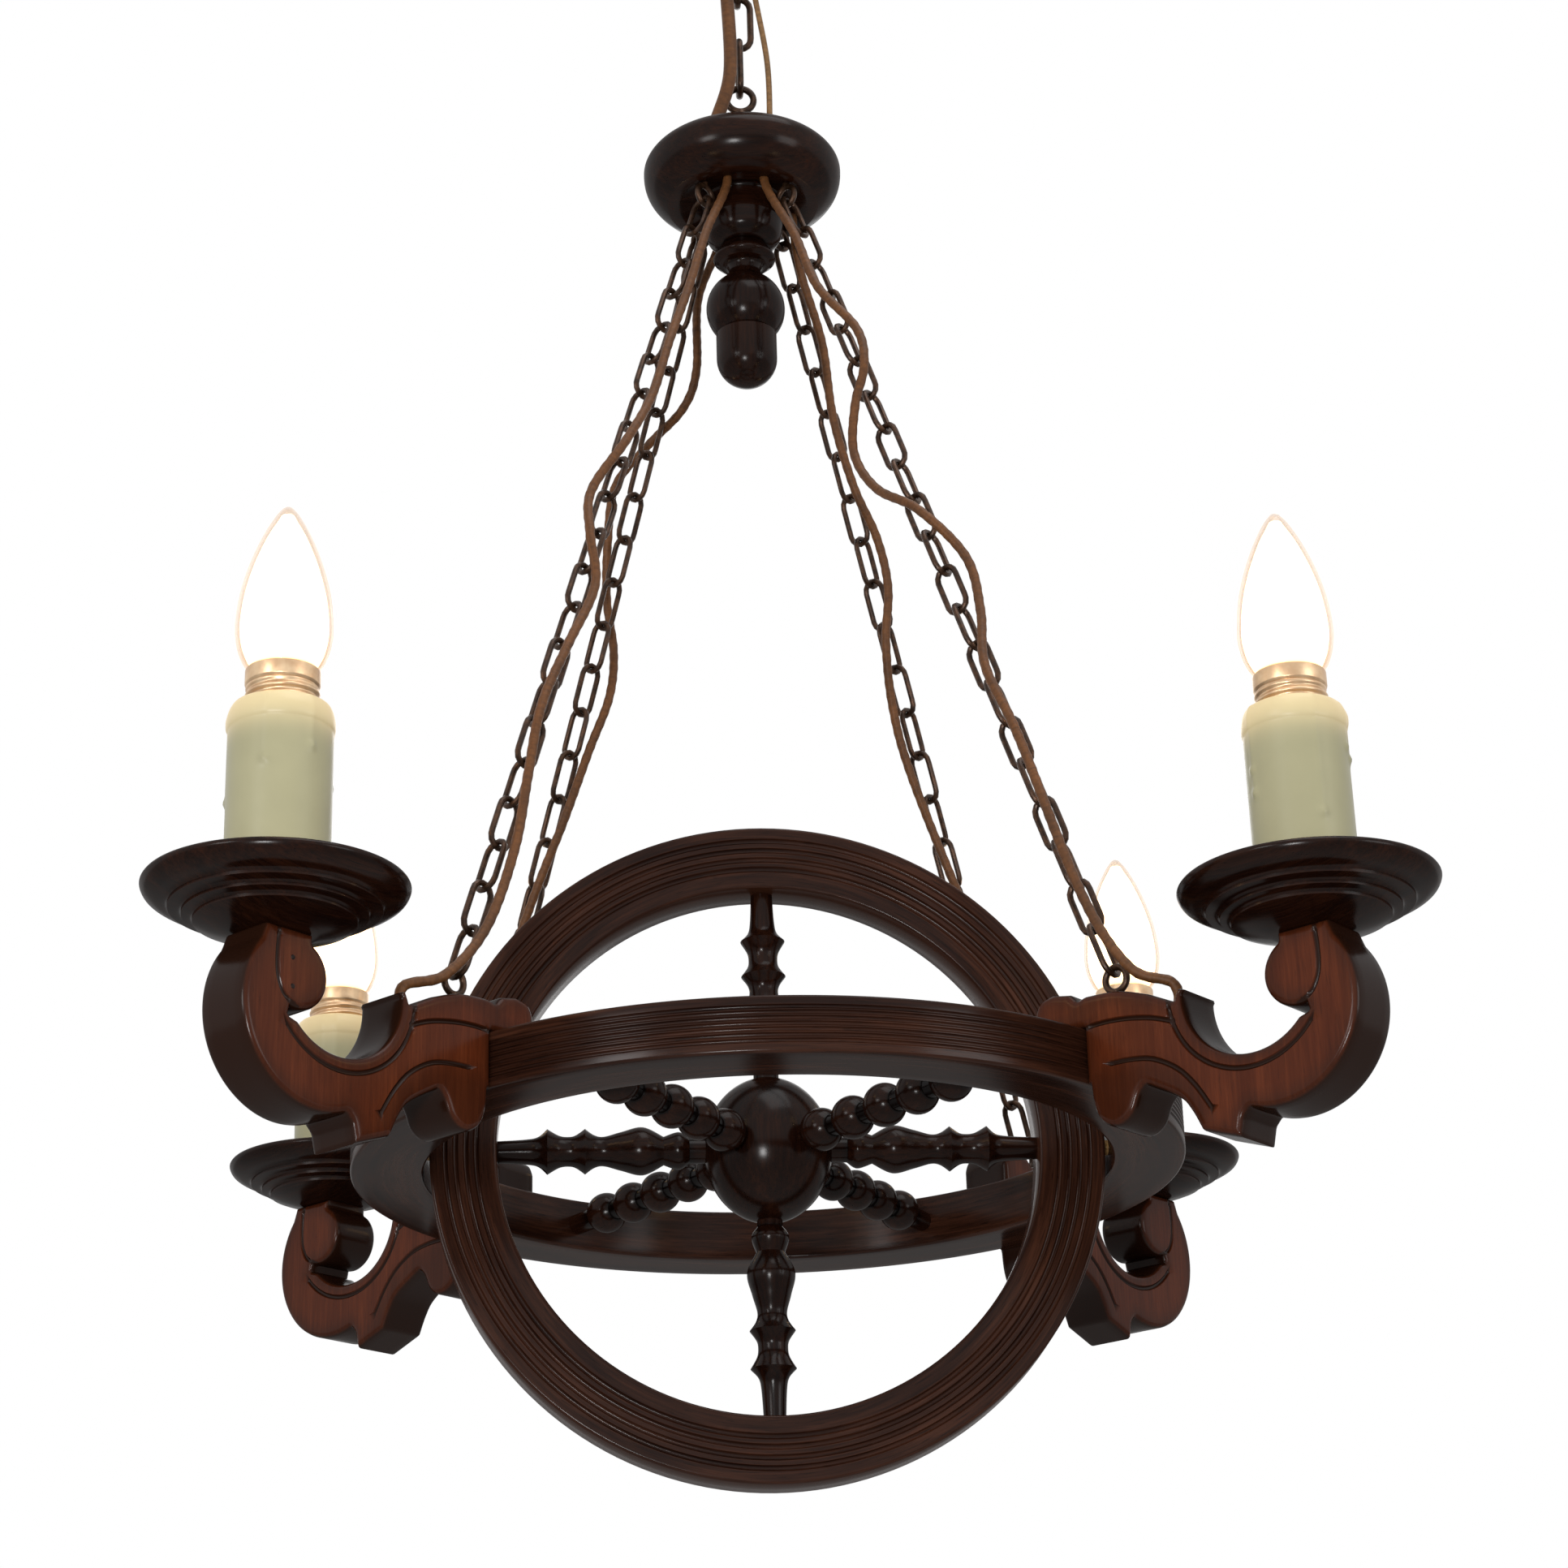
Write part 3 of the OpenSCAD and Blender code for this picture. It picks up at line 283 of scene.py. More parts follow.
def hollow(profile, closed):
    """How far each station of a profile lies inside the line between its neighbours, so that a
    groove is above 0 and an edge below it, scaled to 1 at about a quarter of a millimetre."""
    before, after = np.roll(profile, 1, 0), np.roll(profile, -1, 0)
    along = unit(after - before + 1e-9)
    out = np.stack([along[:, 1], -along[:, 0]], 1)
    bow = ((before + after) / 2 - profile) * out
    depth = bow.sum(1) * 4
    if not closed:
        depth[[0, -1]] = 0
    return np.clip(depth, -1, 1)


def lathe(profile, turns=64, closed=False, swell=None, along=True, seed=0, section=False):
    """Surface of revolution. The point at station s and angle a is (r(s) cos a, r(s) sin a, z(s)),
    and swell(a, z) is added to r. The grain runs along the axis, round it on a ring (section), or
    across it on a piece that is turned from a flat board."""
    profile = np.asarray(profile, float)
    a = np.linspace(0, 2 * np.pi, turns, endpoint=False)[None, :]
    z = np.repeat(profile[:, 1:], turns, 1)
    r = profile[:, :1] + (swell(a, z) if swell else 0)
    points = np.stack([r * np.cos(a), r * np.sin(a), z], -1).reshape(-1, 3)
    if section:
        swing = profile[:, 0].max() * np.abs(a - np.pi) + 0 * z
        grain = np.stack([swing, r + 0 * z, z], -1).reshape(-1, 3)
    else:
        grain = points[:, [2, 0, 1]] if along else points
    grain = grain + 60.0 * seed
    stain = np.repeat(hollow(profile, closed), turns)
    return Surface(points, quads(len(profile), turns, closed, True), grain, stain)


def tube(path, radius, sides=10, across=(0, 1, 0), closed=False):
    """Round bar along a path: P(i, j) = path(i) + r(i, j) (cos j n(i) + sin j b(i)), where n is
    square to the path and to a fixed direction, and b to both. Open ends close on the path."""
    path = np.asarray(path, float)
    ahead = (np.roll(path, -1, 0) - np.roll(path, 1, 0)) if closed else np.gradient(path, axis=0)
    t = unit(ahead)
    n = unit(np.cross(t, np.array(across, float)))
    b = np.cross(t, n)
    j = np.linspace(0, 2 * np.pi, sides, endpoint=False)
    r = np.broadcast_to(np.asarray(radius, float), (len(path), sides))[..., None]
    ring = np.cos(j)[:, None] * n[:, None] + np.sin(j)[:, None] * b[:, None]
    grid = path[:, None] + r * ring
    if not closed:
        ends = np.repeat(path[[0, -1], None], sides, 1)
        grid = np.concatenate([ends[:1], grid, ends[1:]])
    far = np.cumsum(np.linalg.norm(np.diff(grid[:, 0], axis=0, prepend=grid[:1, 0]), axis=1))
    grain = np.stack([np.repeat(far, sides), np.tile(j * np.mean(radius), len(grid)),
                      0 * np.repeat(far, sides)], 1)
    return Surface(grid.reshape(-1, 3), quads(len(grid), sides, closed, True), grain)


def wire_ring(radius, wire, steps=28, sides=12):
    """Ring of round wire in the XZ plane."""
    a = np.linspace(0, 2 * np.pi, steps, endpoint=False)
    return tube(np.stack([radius * np.cos(a), 0 * a, radius * np.sin(a)], 1), wire / 2, sides,
                closed=True)


def oval_link(pitch, width, wire, steps=9, sides=10):
    """Oval link of round wire in the XZ plane, standing on end: two half rings and two
    straights."""
    bow = (width - wire) / 2
    half = (pitch + LINK_GAP) / 2 - (bow - wire / 2)
    top = arc((0, half), bow, 0, 180, steps)
    low = arc((0, -half), bow, 180, 360, steps)
    way = even(np.vstack([top, low]), 2.2, closed=True)
    return tube(np.stack([way[:, 0], 0 * way[:, 0], way[:, 1]], 1), wire / 2, sides, closed=True)


def distance_to(points, line, closed=False):
    """Shortest distance of each point to a line of straight stretches."""
    a = np.asarray(line, float)
    b = np.roll(a, -1, 0) if closed else a[1:]
    a = a if closed else a[:-1]
    ab = b - a
    s = ((points[:, None] - a) * ab).sum(2) / np.maximum((ab**2).sum(1), 1e-12)
    near = a + np.clip(s, 0, 1)[..., None] * ab
    return np.linalg.norm(points[:, None] - near, axis=2).min(1)


def inside(points, line):
    """Which points a closed line goes round, by the number of times that a ray crosses it."""
    a, b = line, np.roll(line, -1, 0)
    y = points[:, None, 1]
    crosses = (a[:, 1] > y) != (b[:, 1] > y)
    drop = np.where(np.abs(b[:, 1] - a[:, 1]) < 1e-12, 1e-12, b[:, 1] - a[:, 1])
    x = a[:, 0] + (y - a[:, 1]) / drop * (b[:, 0] - a[:, 0])
    return (crosses & (points[:, None, 0] < x)).sum(1) % 2 == 1


def beside(line, offset, closed=False):
    """The line moved sideways by an offset."""
    ahead = (np.roll(line, -1, 0) - np.roll(line, 1, 0)) if closed else np.gradient(line, axis=0)
    t = unit(ahead)
    return line + offset * np.stack([-t[:, 1], t[:, 0]], 1)


def sawn_board(outline, lines, thickness, round_over, depth, width=1.1):
    """Board in the XZ plane. Its two faces are the height T/2 - e + sqrt(e^2 - (e - d)^2) at a
    distance d inside the outline, up to the round-over e, less a round-bottomed groove along each
    carved line, and the sawn edge joins them. The stain is deep on the edge and in the grooves,
    and thins over the 6 mm next to the edge."""
    rim = even(outline, 1.0, closed=True)
    along = np.roll(rim, -1, 0)
    inward = 1 if (rim[:, 0] * along[:, 1] - along[:, 0] * rim[:, 1]).sum() > 0 else -1
    e = round_over
    field = [beside(rim, s * inward * e, closed=True) for s in (0.12, 0.35, 0.65, 1.0, 1.35)]
    for line in lines:
        steps = even(line, 1.1)
        field += [beside(steps, s * width) for s in (-1.5, -1, -0.55, 0, 0.55, 1, 1.5)]
    near = np.vstack(field)
    low, high = rim.min(0), rim.max(0)
    mesh = np.stack(np.meshgrid(np.arange(low[0], high[0], 3.2), np.arange(low[1], high[1], 3.2)),
                    -1).reshape(-1, 2)
    for line in lines:
        mesh = mesh[distance_to(mesh, line) > 2.4 * width]
    mesh = mesh[distance_to(mesh, rim, True) > 1.9 * e]
    near = near[distance_to(near, rim, True) > 0.08 * e]
    flat = np.vstack([near, mesh])
    corners = np.vstack([rim, flat[inside(flat, rim)]])
    edges = [(k, (k + 1) % len(rim)) for k in range(len(rim))]
    made = delaunay_2d_cdt([tuple(p) for p in corners.tolist()], edges, [], 1, 1e-4)
    flat = np.array([tuple(p) for p in made[0]])
    triangles = np.array(made[2])
    first = {s[0]: k for k, s in enumerate(made[3]) if s}
    loop = np.array([first[k] for k in range(len(rim))])
    d = distance_to(flat, rim, True)
    fall = e - np.sqrt(np.maximum(e**2 - np.maximum(e - d, 0) ** 2, 0))
    groove = np.zeros(len(flat))
    for line in lines:
        away = distance_to(flat, line) / width
        groove = np.maximum(groove, np.sqrt(np.maximum(1 - away**2, 0)) * depth)
    lift = thickness / 2 - fall - groove * np.clip(d / e - 0.4, 0, 1)
    stain = np.maximum(1 - d / (0.7 * e), 0.5 * np.exp(-((d / 5) ** 2)))
    stain = np.clip(np.maximum(stain, groove / depth * 1.4), 0, 1)
    face = np.stack([flat[:, 0], lift, flat[:, 1]], 1)
    rows = np.linspace(1, -1, 6)[1:-1, None]
    wall = np.stack([face[loop, 0] + 0 * rows, face[loop, 1] * rows, face[loop, 2] + 0 * rows], -1)
    count, n = len(flat), len(loop)
    numbers = np.vstack([loop, 2 * count + np.arange(4 * n).reshape(4, n), loop + count])
    band = numbers.reshape(-1)[quads(6, n, False, True)]
    points = np.vstack([face, face * (1, -1, 1), wall.reshape(-1, 3)])
    a, b, c = (flat[triangles[:, k]] for k in range(3))
    turned = (b[:, 0] - a[:, 0]) * (c[:, 1] - a[:, 1]) - (b[:, 1] - a[:, 1]) * (c[:, 0] - a[:, 0])
    front = np.where((turned < 0)[:, None], triangles, triangles[:, ::-1])
    board = Surface(points, band, points[:, [2, 0, 1]],
                    np.concatenate([stain, stain, np.ones(4 * n)]))
    board.faces = [np.vstack([front, front[:, ::-1] + count]),
                   band[:, ::-1] if inward > 0 else band]
    return board


# ---------------------------------------------------------------- pieces

def to_row(points):
    """From millimetres about the wheel to metres in the row frame."""
    return (points + (0, 0, WHEEL_Z)) * MM


def join(first, *others):
    """Several closed surfaces as one."""
    for other in others:
        first.faces += [f + len(first.points) for f in other.faces]
        first.points = np.vstack([first.points, other.points])
        first.grain = np.vstack([first.grain, other.grain])
        first.stain = np.concatenate([first.stain, other.stain])
    return first


def placed(name, mesh, slot, node, body, finish, sharp):
    """The object of a finished mesh, which rides on a body and stands for its CAD node."""
    mesh.shade_smooth()
    mesh.set_sharp_from_angle(angle=math.radians(sharp))
    mesh.materials.clear()
    mesh.materials.append(finishes()[finish or slot])
    made = bpy.data.objects.new(name, mesh)
    bpy.context.scene.collection.objects.link(made)
    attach(made, body)
    if node:
        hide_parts(node)
    return made


def piece(name, surface, slot, node=None, body="lamp", finish=None, sharp=32):
    """The mesh of a surface, with its grain and stain, in place of its CAD node. Its finish is
    its slot's, if it has none of its own."""
    mesh = bpy.data.meshes.new(name)
    faces = [row for f in surface.faces for row in f.tolist()]
    mesh.from_pydata(to_row(surface.points), [], faces)
    grain = mesh.attributes.new("grain", "FLOAT_VECTOR", "POINT")
    grain.data.foreach_set("vector", surface.grain.ravel())
    stain = mesh.attributes.new("stain", "FLOAT", "POINT")
    stain.data.foreach_set("value", surface.stain)
    work = bmesh.new()
    work.from_mesh(mesh)
    bmesh.ops.remove_doubles(work, verts=work.verts, dist=2e-7)
    bmesh.ops.delete(work, geom=[e for e in work.edges if not e.link_faces], context="EDGES")
    work.to_mesh(mesh)
    work.free()
    return placed(name, mesh, slot, node, body, finish, sharp)


def dressed(node, name, slot, body="lamp", edge=0.35):
    """A closed copy of a CAD node with softened edges, in place of the node."""
    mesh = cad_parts[node].data.copy()
    mesh.name = name
    work = bmesh.new()
    work.from_mesh(mesh)
    bmesh.ops.remove_doubles(work, verts=work.verts, dist=1e-6)
    bmesh.ops.dissolve_limit(work, angle_limit=math.radians(1), verts=work.verts,
                             edges=work.edges)
    work.to_mesh(mesh)
    work.free()
    points = np.zeros(len(mesh.vertices) * 3)
    mesh.vertices.foreach_get("co", points)
    grain = mesh.attributes.new("grain", "FLOAT_VECTOR", "POINT")
    grain.data.foreach_set("vector", points / MM)
    mesh.attributes.new("stain", "FLOAT", "POINT")
    made = placed(name, mesh, slot, node, body, slot, 30)
    bevel = made.modifiers.new("Softened edges", "BEVEL")
    bevel.width, bevel.segments, bevel.limit_method = edge * MM, 2, "ANGLE"
    bevel.angle_limit = math.radians(35)
    return made


def refinished(finish, *nodes):
    """Gives a finish to CAD nodes whose shape is right."""
    for node in nodes:
        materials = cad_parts[node].data.materials
        materials.clear()
        materials.append(finishes()[finish])


# ---------------------------------------------------------------- materials

def feed(socket, value):
    """Sets a socket to a value, or links it to the output that feeds it."""
    if isinstance(value, bpy.types.NodeSocket):
        socket.id_data.links.new(value, socket)
    else:
        socket.default_value = value


def add(tree, kind, sockets=None, stops=(), out=0, **settings):
    """Adds one node and returns one of its outputs. A socket gets a value, or the output that
    feeds it, and stops are the places and colours of a ramp."""
    node = tree.nodes.new(kind)
    for name, value in settings.items():
        setattr(node, name, value)
    for name, value in (sockets or {}).items():
        feed(node.inputs[name], value)
    for k, (place, shade) in enumerate(stops):
        ramp = node.color_ramp.elements
        point = ramp[k] if k < 2 else ramp.new(place)
        point.position, point.color = place, (*shade, 1)
    return node.outputs[out]


def shaded(shader, **values):
    """Constants and outputs for the shader's own sockets."""
    for name, value in values.items():
        feed(shader.inputs[name.replace("_", " ")], value)


def blank(name):
    """A new material: its tree and its shader."""
    made = bpy.data.materials.new(name)
    made.use_nodes = True
    return made, made.node_tree, made.node_tree.nodes["Principled BSDF"]


def once(make):
    """Makes a finish the first time that it is asked for, and finds it after that."""
    @wraps(make)
    def finish(name, *values, **settings):
        return bpy.data.materials.get(name) or make(name, *values, **settings)
    return finish


def tint(tone, factor):
    """The same colour, lighter or darker."""
    return tuple(min(1.0, c * factor) for c in tone)


@once
def wood(name, dark, light, deep, gloss=0.2, stretch=0.035, worn=0.5, pore=0.6):
    """Stained and varnished hardwood. Growth lines 1.3 mm wide run through it with broad bands
    of 9 mm, and open pores show as dark dashes drawn 0.6 mm wide. Stain gathers in grooves and
    wears off edges. All of the shine is the varnish's, which is a little amber."""
    made, tree, shader = blank(name)
    grain = add(tree, "ShaderNodeAttribute", out="Vector", attribute_name="grain")
    depth = add(tree, "ShaderNodeAttribute", out="Fac", attribute_name="stain")
    drawn = []
    for width, along, detail in ((1.3, stretch, 4.0), (9.0, stretch * 3, 2.0),
                                 (0.6, stretch * 1.6, 1.0)):
        place = add(tree, "ShaderNodeVectorMath",
                    {0: grain, 1: (along / width, 1 / width, 1 / width)}, operation="MULTIPLY")
        drawn.append(add(tree, "ShaderNodeTexNoise", {"Vector": place, "Scale": 1.0,
                                                      "Detail": detail, "Roughness": 0.6,
                                                      "Distortion": 0.4}))
    growth, bands, pores = drawn
    figure = add(tree, "ShaderNodeMath", {0: growth, 1: bands}, operation="ADD")
    figure = add(tree, "ShaderNodeMath", {0: figure, 1: 0.5}, operation="MULTIPLY")
    between = tuple((a * 2 + b) / 3 for a, b in zip(dark, light))
    body = add(tree, "ShaderNodeValToRGB", {"Fac": figure},
               [(0.36, dark), (0.66, light), (0.5, between)])
    open_pores = add(tree, "ShaderNodeMapRange", {"Value": pores, "From Min": 0.6,
                                                  "From Max": 0.72, "To Max": pore})
    # On the scroll arms the stain attribute also holds painted shade, which darkens through this
    # mix
    groove = add(tree, "ShaderNodeMapRange", {"Value": depth, "From Min": 0.05, "From Max": 0.85})
    rubbed = add(tree, "ShaderNodeMapRange", {"Value": depth, "From Min": -0.15,
                                              "From Max": -1.0, "To Max": worn})
    for share, tone in ((open_pores, tint(deep, 0.8)), (groove, deep), (rubbed, light)):
        body = add(tree, "ShaderNodeMix", {"Factor": share, 6: body, 7: (*tone, 1)}, out=2,
                   data_type="RGBA")
    rough = add(tree, "ShaderNodeMapRange", {"Value": figure, "To Min": gloss + 0.12,
                                             "To Max": gloss})
    relief = add(tree, "ShaderNodeMath", {0: growth, 1: open_pores}, operation="SUBTRACT")
    bump = add(tree, "ShaderNodeBump", {"Height": relief, "Strength": 0.12,
                                        "Distance": 0.1 * MM})
    shaded(shader, Base_Color=body, Roughness=rough, Normal=bump, Specular_IOR_Level=0.0,
           Coat_Weight=0.27, Coat_Roughness=0.2, Coat_Tint=(1.0, 0.86, 0.74, 1), IOR=1.5)
    return made


@once
def metal(name, base, worn_tone, metallic, rough, mottle=3.0):
    """Lacquered, plated or bright metal. Mottling 3 mm across shows where handling has dulled
    or rubbed it."""
    made, tree, shader = blank(name)
    place = add(tree, "ShaderNodeTexCoord", out="Object")
    patch = add(tree, "ShaderNodeTexNoise", {"Vector": place, "Scale": 1 / (mottle * MM),
                                             "Detail": 4.0})
    body = add(tree, "ShaderNodeValToRGB", {"Fac": patch}, [(0.38, base), (0.66, worn_tone)])
    dull = add(tree, "ShaderNodeMapRange", {"Value": patch, "To Min": rough - 0.08,
                                            "To Max": rough + 0.12})
    bump = add(tree, "ShaderNodeBump", {"Height": patch, "Strength": 0.3, "Distance": 0.04 * MM})
    shaded(shader, Base_Color=body, Roughness=dull, Normal=bump, Metallic=metallic)
    return made


@once
def sheath(name, tone):
    """Moulded PVC sheath of a two-core cord: matt, with fine cross marks about 1.5 mm apart and
    handling dirt along it."""
    made, tree, shader = blank(name)
    way = add(tree, "ShaderNodeAttribute", out="Vector", attribute_name="grain")
    drawn = []
    for steps, detail in (((0.65, 0.3, 0.3), 3.0), ((0.05, 0.2, 0.2), 2.0)):
        place = add(tree, "ShaderNodeVectorMath", {0: way, 1: steps}, operation="MULTIPLY")
        drawn.append(add(tree, "ShaderNodeTexNoise", {"Vector": place, "Scale": 1.0,
                                                      "Detail": detail}))
    marks, dirt = drawn
    both = add(tree, "ShaderNodeMath", {0: marks, 1: dirt}, operation="MULTIPLY")
    body = add(tree, "ShaderNodeValToRGB", {"Fac": both},
               [(0.12, tint(tone, 0.55)), (0.4, tint(tone, 1.25))])
    bump = add(tree, "ShaderNodeBump", {"Height": marks, "Strength": 0.25, "Distance": 0.1 * MM})
    shaded(shader, Base_Color=body, Normal=bump, Roughness=0.52, IOR=1.53,
           Specular_IOR_Level=0.25)
    return made


@once
def plastic(name, tone, rough, painted_lip_glow=0.0):
    """Moulded plastic: an even tone with faint cloudiness 20 mm across and a fine orange-peel
    skin. A candle tube also gets a painted glow, strongest at the lip, that stands in for the
    light of its bulb on the top of the tube."""
    made, tree, shader = blank(name)
    place = add(tree, "ShaderNodeTexCoord", out="Object")
    cloud = add(tree, "ShaderNodeTexNoise", {"Vector": place, "Scale": 1 / (20 * MM),
                                             "Detail": 3.0})
    body = add(tree, "ShaderNodeValToRGB", {"Fac": cloud},
               [(0.3, tint(tone, 0.95)), (0.7, tint(tone, 1.04))])
    peel = add(tree, "ShaderNodeTexNoise", {"Vector": place, "Scale": 1 / (1.6 * MM),
                                            "Detail": 2.0})
    bump = add(tree, "ShaderNodeBump", {"Height": peel, "Strength": 0.1, "Distance": 0.06 * MM})
    shaded(shader, Base_Color=body, Normal=bump, Roughness=rough, IOR=1.49,
           Specular_IOR_Level=0.28)
    # Painted light: a warm emission that rises towards the lip of the candle tube
    if painted_lip_glow:
        way = add(tree, "ShaderNodeAttribute", out="Vector", attribute_name="grain")
        height = add(tree, "ShaderNodeSeparateXYZ", {0: way})
        near = add(tree, "ShaderNodeMapRange", {"Value": height, "From Min": SLEEVE_TOP - 26,
                                                "From Max": SLEEVE_TOP},
                   interpolation_type="SMOOTHERSTEP")
        near = add(tree, "ShaderNodeMath", {0: near, 1: 2.2}, operation="POWER")
        through = add(tree, "ShaderNodeValToRGB", {"Fac": near},
                      [(0.0, (0, 0, 0)), (1.0, tint(linear("#ffd9a0"), painted_lip_glow))])
        shaded(shader, Emission_Color=through, Emission_Strength=1.0)
    return made


@once
def shining(name, low, high, foot, above, **values):
    """Part of a lit bulb. Its light has one tone at its foot and another above it, between two
    heights."""
    made, tree, shader = blank(name)
    way = add(tree, "ShaderNodeAttribute", out="Vector", attribute_name="grain")
    height = add(tree, "ShaderNodeSeparateXYZ", {0: way})
    share = add(tree, "ShaderNodeMapRange", {"Value": height, "From Min": low, "From Max": high})
    tone = add(tree, "ShaderNodeValToRGB", {"Fac": share}, [(0.0, foot), (1.0, above)])
    shaded(shader, Emission_Color=tone, **values)
    return made


def finishes():
    """Every finish of the light, made from the settings, by its slot or by its own name where
    the slot has another."""
    s = bpy.context.scene.light_finish
    return {
        "dark_wood": wood("turned beech, dark stain and gloss varnish", s.stain, s.stain_light,
                          tint(s.stain, 0.45)),
        "ring_wood": wood("bent beech, dark stain and satin varnish", s.ring, s.ring_light,
                          tint(s.ring, 0.35), gloss=0.26, worn=0.9),
        "arm_wood": wood("sawn pine, amber stain and satin varnish", s.board, s.board_light,
                         s.edge, gloss=0.24, stretch=0.05, pore=0.3),
        "beech_dowel": wood("plain beech dowel", linear("#b98f58"), linear("#d8b27c"),
                            linear("#8a6337"), gloss=0.6),
        "bronze_steel": metal("steel, dark bronze lacquer", tint(s.bronze, 0.55),
                              tint(s.bronze, 1.5), 0.6, 0.36),
        "steel": metal("steel, zinc plated", linear("#8f9190"), linear("#b5b6b2"), 1.0, 0.32),
        "nail_steel": metal("steel nail, blackened", linear("#120e0c"), linear("#2c2320"), 0.8,
                            0.5),
        "brass": metal("brass, turned", linear("#9c7438"), linear("#c79d57"), 1.0, 0.28),
        "cap_brass": metal("nickel brass, rolled thread", linear("#c9a682"), linear("#dcc09c"),
                           0.85, 0.34, mottle=6.0),
        "brown_cord": sheath("PVC cord sheath, brown", s.cord),
        "earth": sheath("PVC wire sheath, light brown", linear("#8d6a45")),
        # 0.45 is the strength of the candle tube's painted glow at the lip
        "candle_plastic": plastic("polypropylene candle tube, cream", s.wax, 0.36, 0.45),
        "white_plastic": plastic("urea moulding, ivory", linear("#e4dcc4"), 0.3),
        # Thin clear skin that carries a little of the warm light
        "bulb_glass": shining("soda glass, lit", CAP_TOP, CAP_TOP + 14, linear("#e9b98c"),
                              linear("#ead2bd"), Base_Color=(0.04, 0.035, 0.03, 1),
                              Emission_Strength=0.8, Alpha=0.5, Roughness=0.06, IOR=1.5),
        # White hot, and warmer at its foot
        "coil": shining("lit coil", CAP_TOP - 3, CAP_TOP + 9, tint(linear("#ffb45e"), 0.12),
                        s.glow, Base_Color=(1, 1, 1, 1), Emission_Strength=s.glow_strength,
                        Roughness=0.5),
    }


# ---------------------------------------------------------------- wheel

def reeds(count, pitch, radius):
    """Round grooves in a row about the middle of a face. At a distance x from the middle of a
    groove, its depth is sqrt(r^2 - x^2), and the reeds between two grooves are flat on top."""
    place = np.linspace(0, count, count * 12 + 1)
    away = (place % 1 - 0.5) * pitch
    return (place - count / 2) * pitch, np.sqrt(np.maximum(radius**2 - away**2, 0))


def flat_ring_profile(radius):
    """Section of the flat ring as [radius, height]: a block with rounded edges, and a row of
    fine reeds between two plain bands on its outer face."""
    r0, r1, h, e = *(FLAT_RING[side] for side in ("inner", "outer", "half")), RING_EDGE
    z, cut = reeds(FINE_COUNT, FINE_PITCH, radius)
    face = np.stack([r1 - cut, z], 1)
    under = even(np.array([[r0 + e, -h], [r1 - e, -h]]), 4)
    top = even(np.array([[r1 - e, h], [r0 + e, h]]), 4)
    back = even(np.array([[r0, h - e], [r0, -h + e]]), 4)
    return np.vstack([under, arc((r1 - e, -h + e), e, -75, 0, 4), face,
                      arc((r1 - e, h - e), e, 0, 75, 4), top,
                      arc((r0 + e, h - e), e, 105, 165, 3), back,
                      arc((r0 + e, -h + e), e, 195, 255, 3)])


def upright_ring_profile(radius):
    """Section of the upright ring: four round grooves on both flat faces."""
    r0, r1, h, e = *(UPRIGHT_RING[side] for side in ("inner", "outer", "half")), RING_EDGE
    x = np.linspace(r0 + e, r1 - e, 100)
    away = x[:, None] - (r0 + REED_FIRST + REED_PITCH * np.arange(REED_COUNT))
    cut = np.sqrt(np.maximum(radius**2 - away**2, 0)).max(1)
    low = np.stack([x, -h + cut], 1)
    high = np.stack([x, h - cut], 1)[::-1]
    return np.vstack([low, arc((r1 - e, -h + e), e, -75, -15, 3),
                      arc((r1 - e, h - e), e, 15, 75, 3), high,
                      arc((r0 + e, h - e), e, 105, 165, 3), arc((r0 + e, -h + e), e, 195, 255, 3)])


def hub_seat(half):
    """Height at which a spoke's shoulder meets the hub, a little inside it, on an axis where
    the hub is that high."""
    return half * math.sqrt(1 - (SHOULDER_R / HUB_R) ** 2) - SEAT_IN


def baluster(seat, end):
    """Baluster profile from the hub's seat to the upright ring, as [radius, height]. A station
    is a share of the free length and a radius."""
    share, radius = np.array([
        (0.121, 7.4), (0.195, 5.6), (0.295, BALUSTER_R), (0.40, 7.6), (0.483, 5.8), (0.53, 6.4),
        (0.575, 8.9), (0.62, 6.4), (0.655, 5.8), (0.70, 6.3), (0.757, 8.9), (0.80, 5.9),
        (0.86, 4.9)]).T
    free = UPRIGHT_RING["inner"] - HUB_R
    line = np.stack([radius, HUB_R + share * free], 1)
    collar = spline([(SHOULDER_R, HUB_R + 0.071 * free), *line[:2]], 8)
    bulb, waist = spline(line[1:7], 8), spline(line[6:11], 8)
    shank = spline([*line[10:], (4.3, end)], 8)
    foot = [(0, seat - TENON_L), (TENON_R, seat - TENON_L), (TENON_R, seat), (SHOULDER_R, seat)]
    head = [(TENON_R, end), (TENON_R, end + TENON_L), (0, end + TENON_L)]
    return np.vstack([foot, collar, bulb, waist, shank, head])


def bobbin_profile():
    """Row of beads on a thin core: each bead is an arc that meets the core at half its radius."""
    seat, end = hub_seat(HUB_R), FLAT_RING["inner"]
    first = HUB_R + BEAD_R + 0.9
    beads = [arc((0, first + k * BEAD_PITCH), BEAD_R, -59, 59, 14) for k in range(BEAD_COUNT)]
    return np.vstack([
        [(0, seat - TENON_L), (TENON_R, seat - TENON_L), (TENON_R, seat), (CORE_R, seat)], *beads,
        [(CORE_R, end - 0.1), (TENON_R, end), (TENON_R, end + TENON_L), (0, end + TENON_L)]])


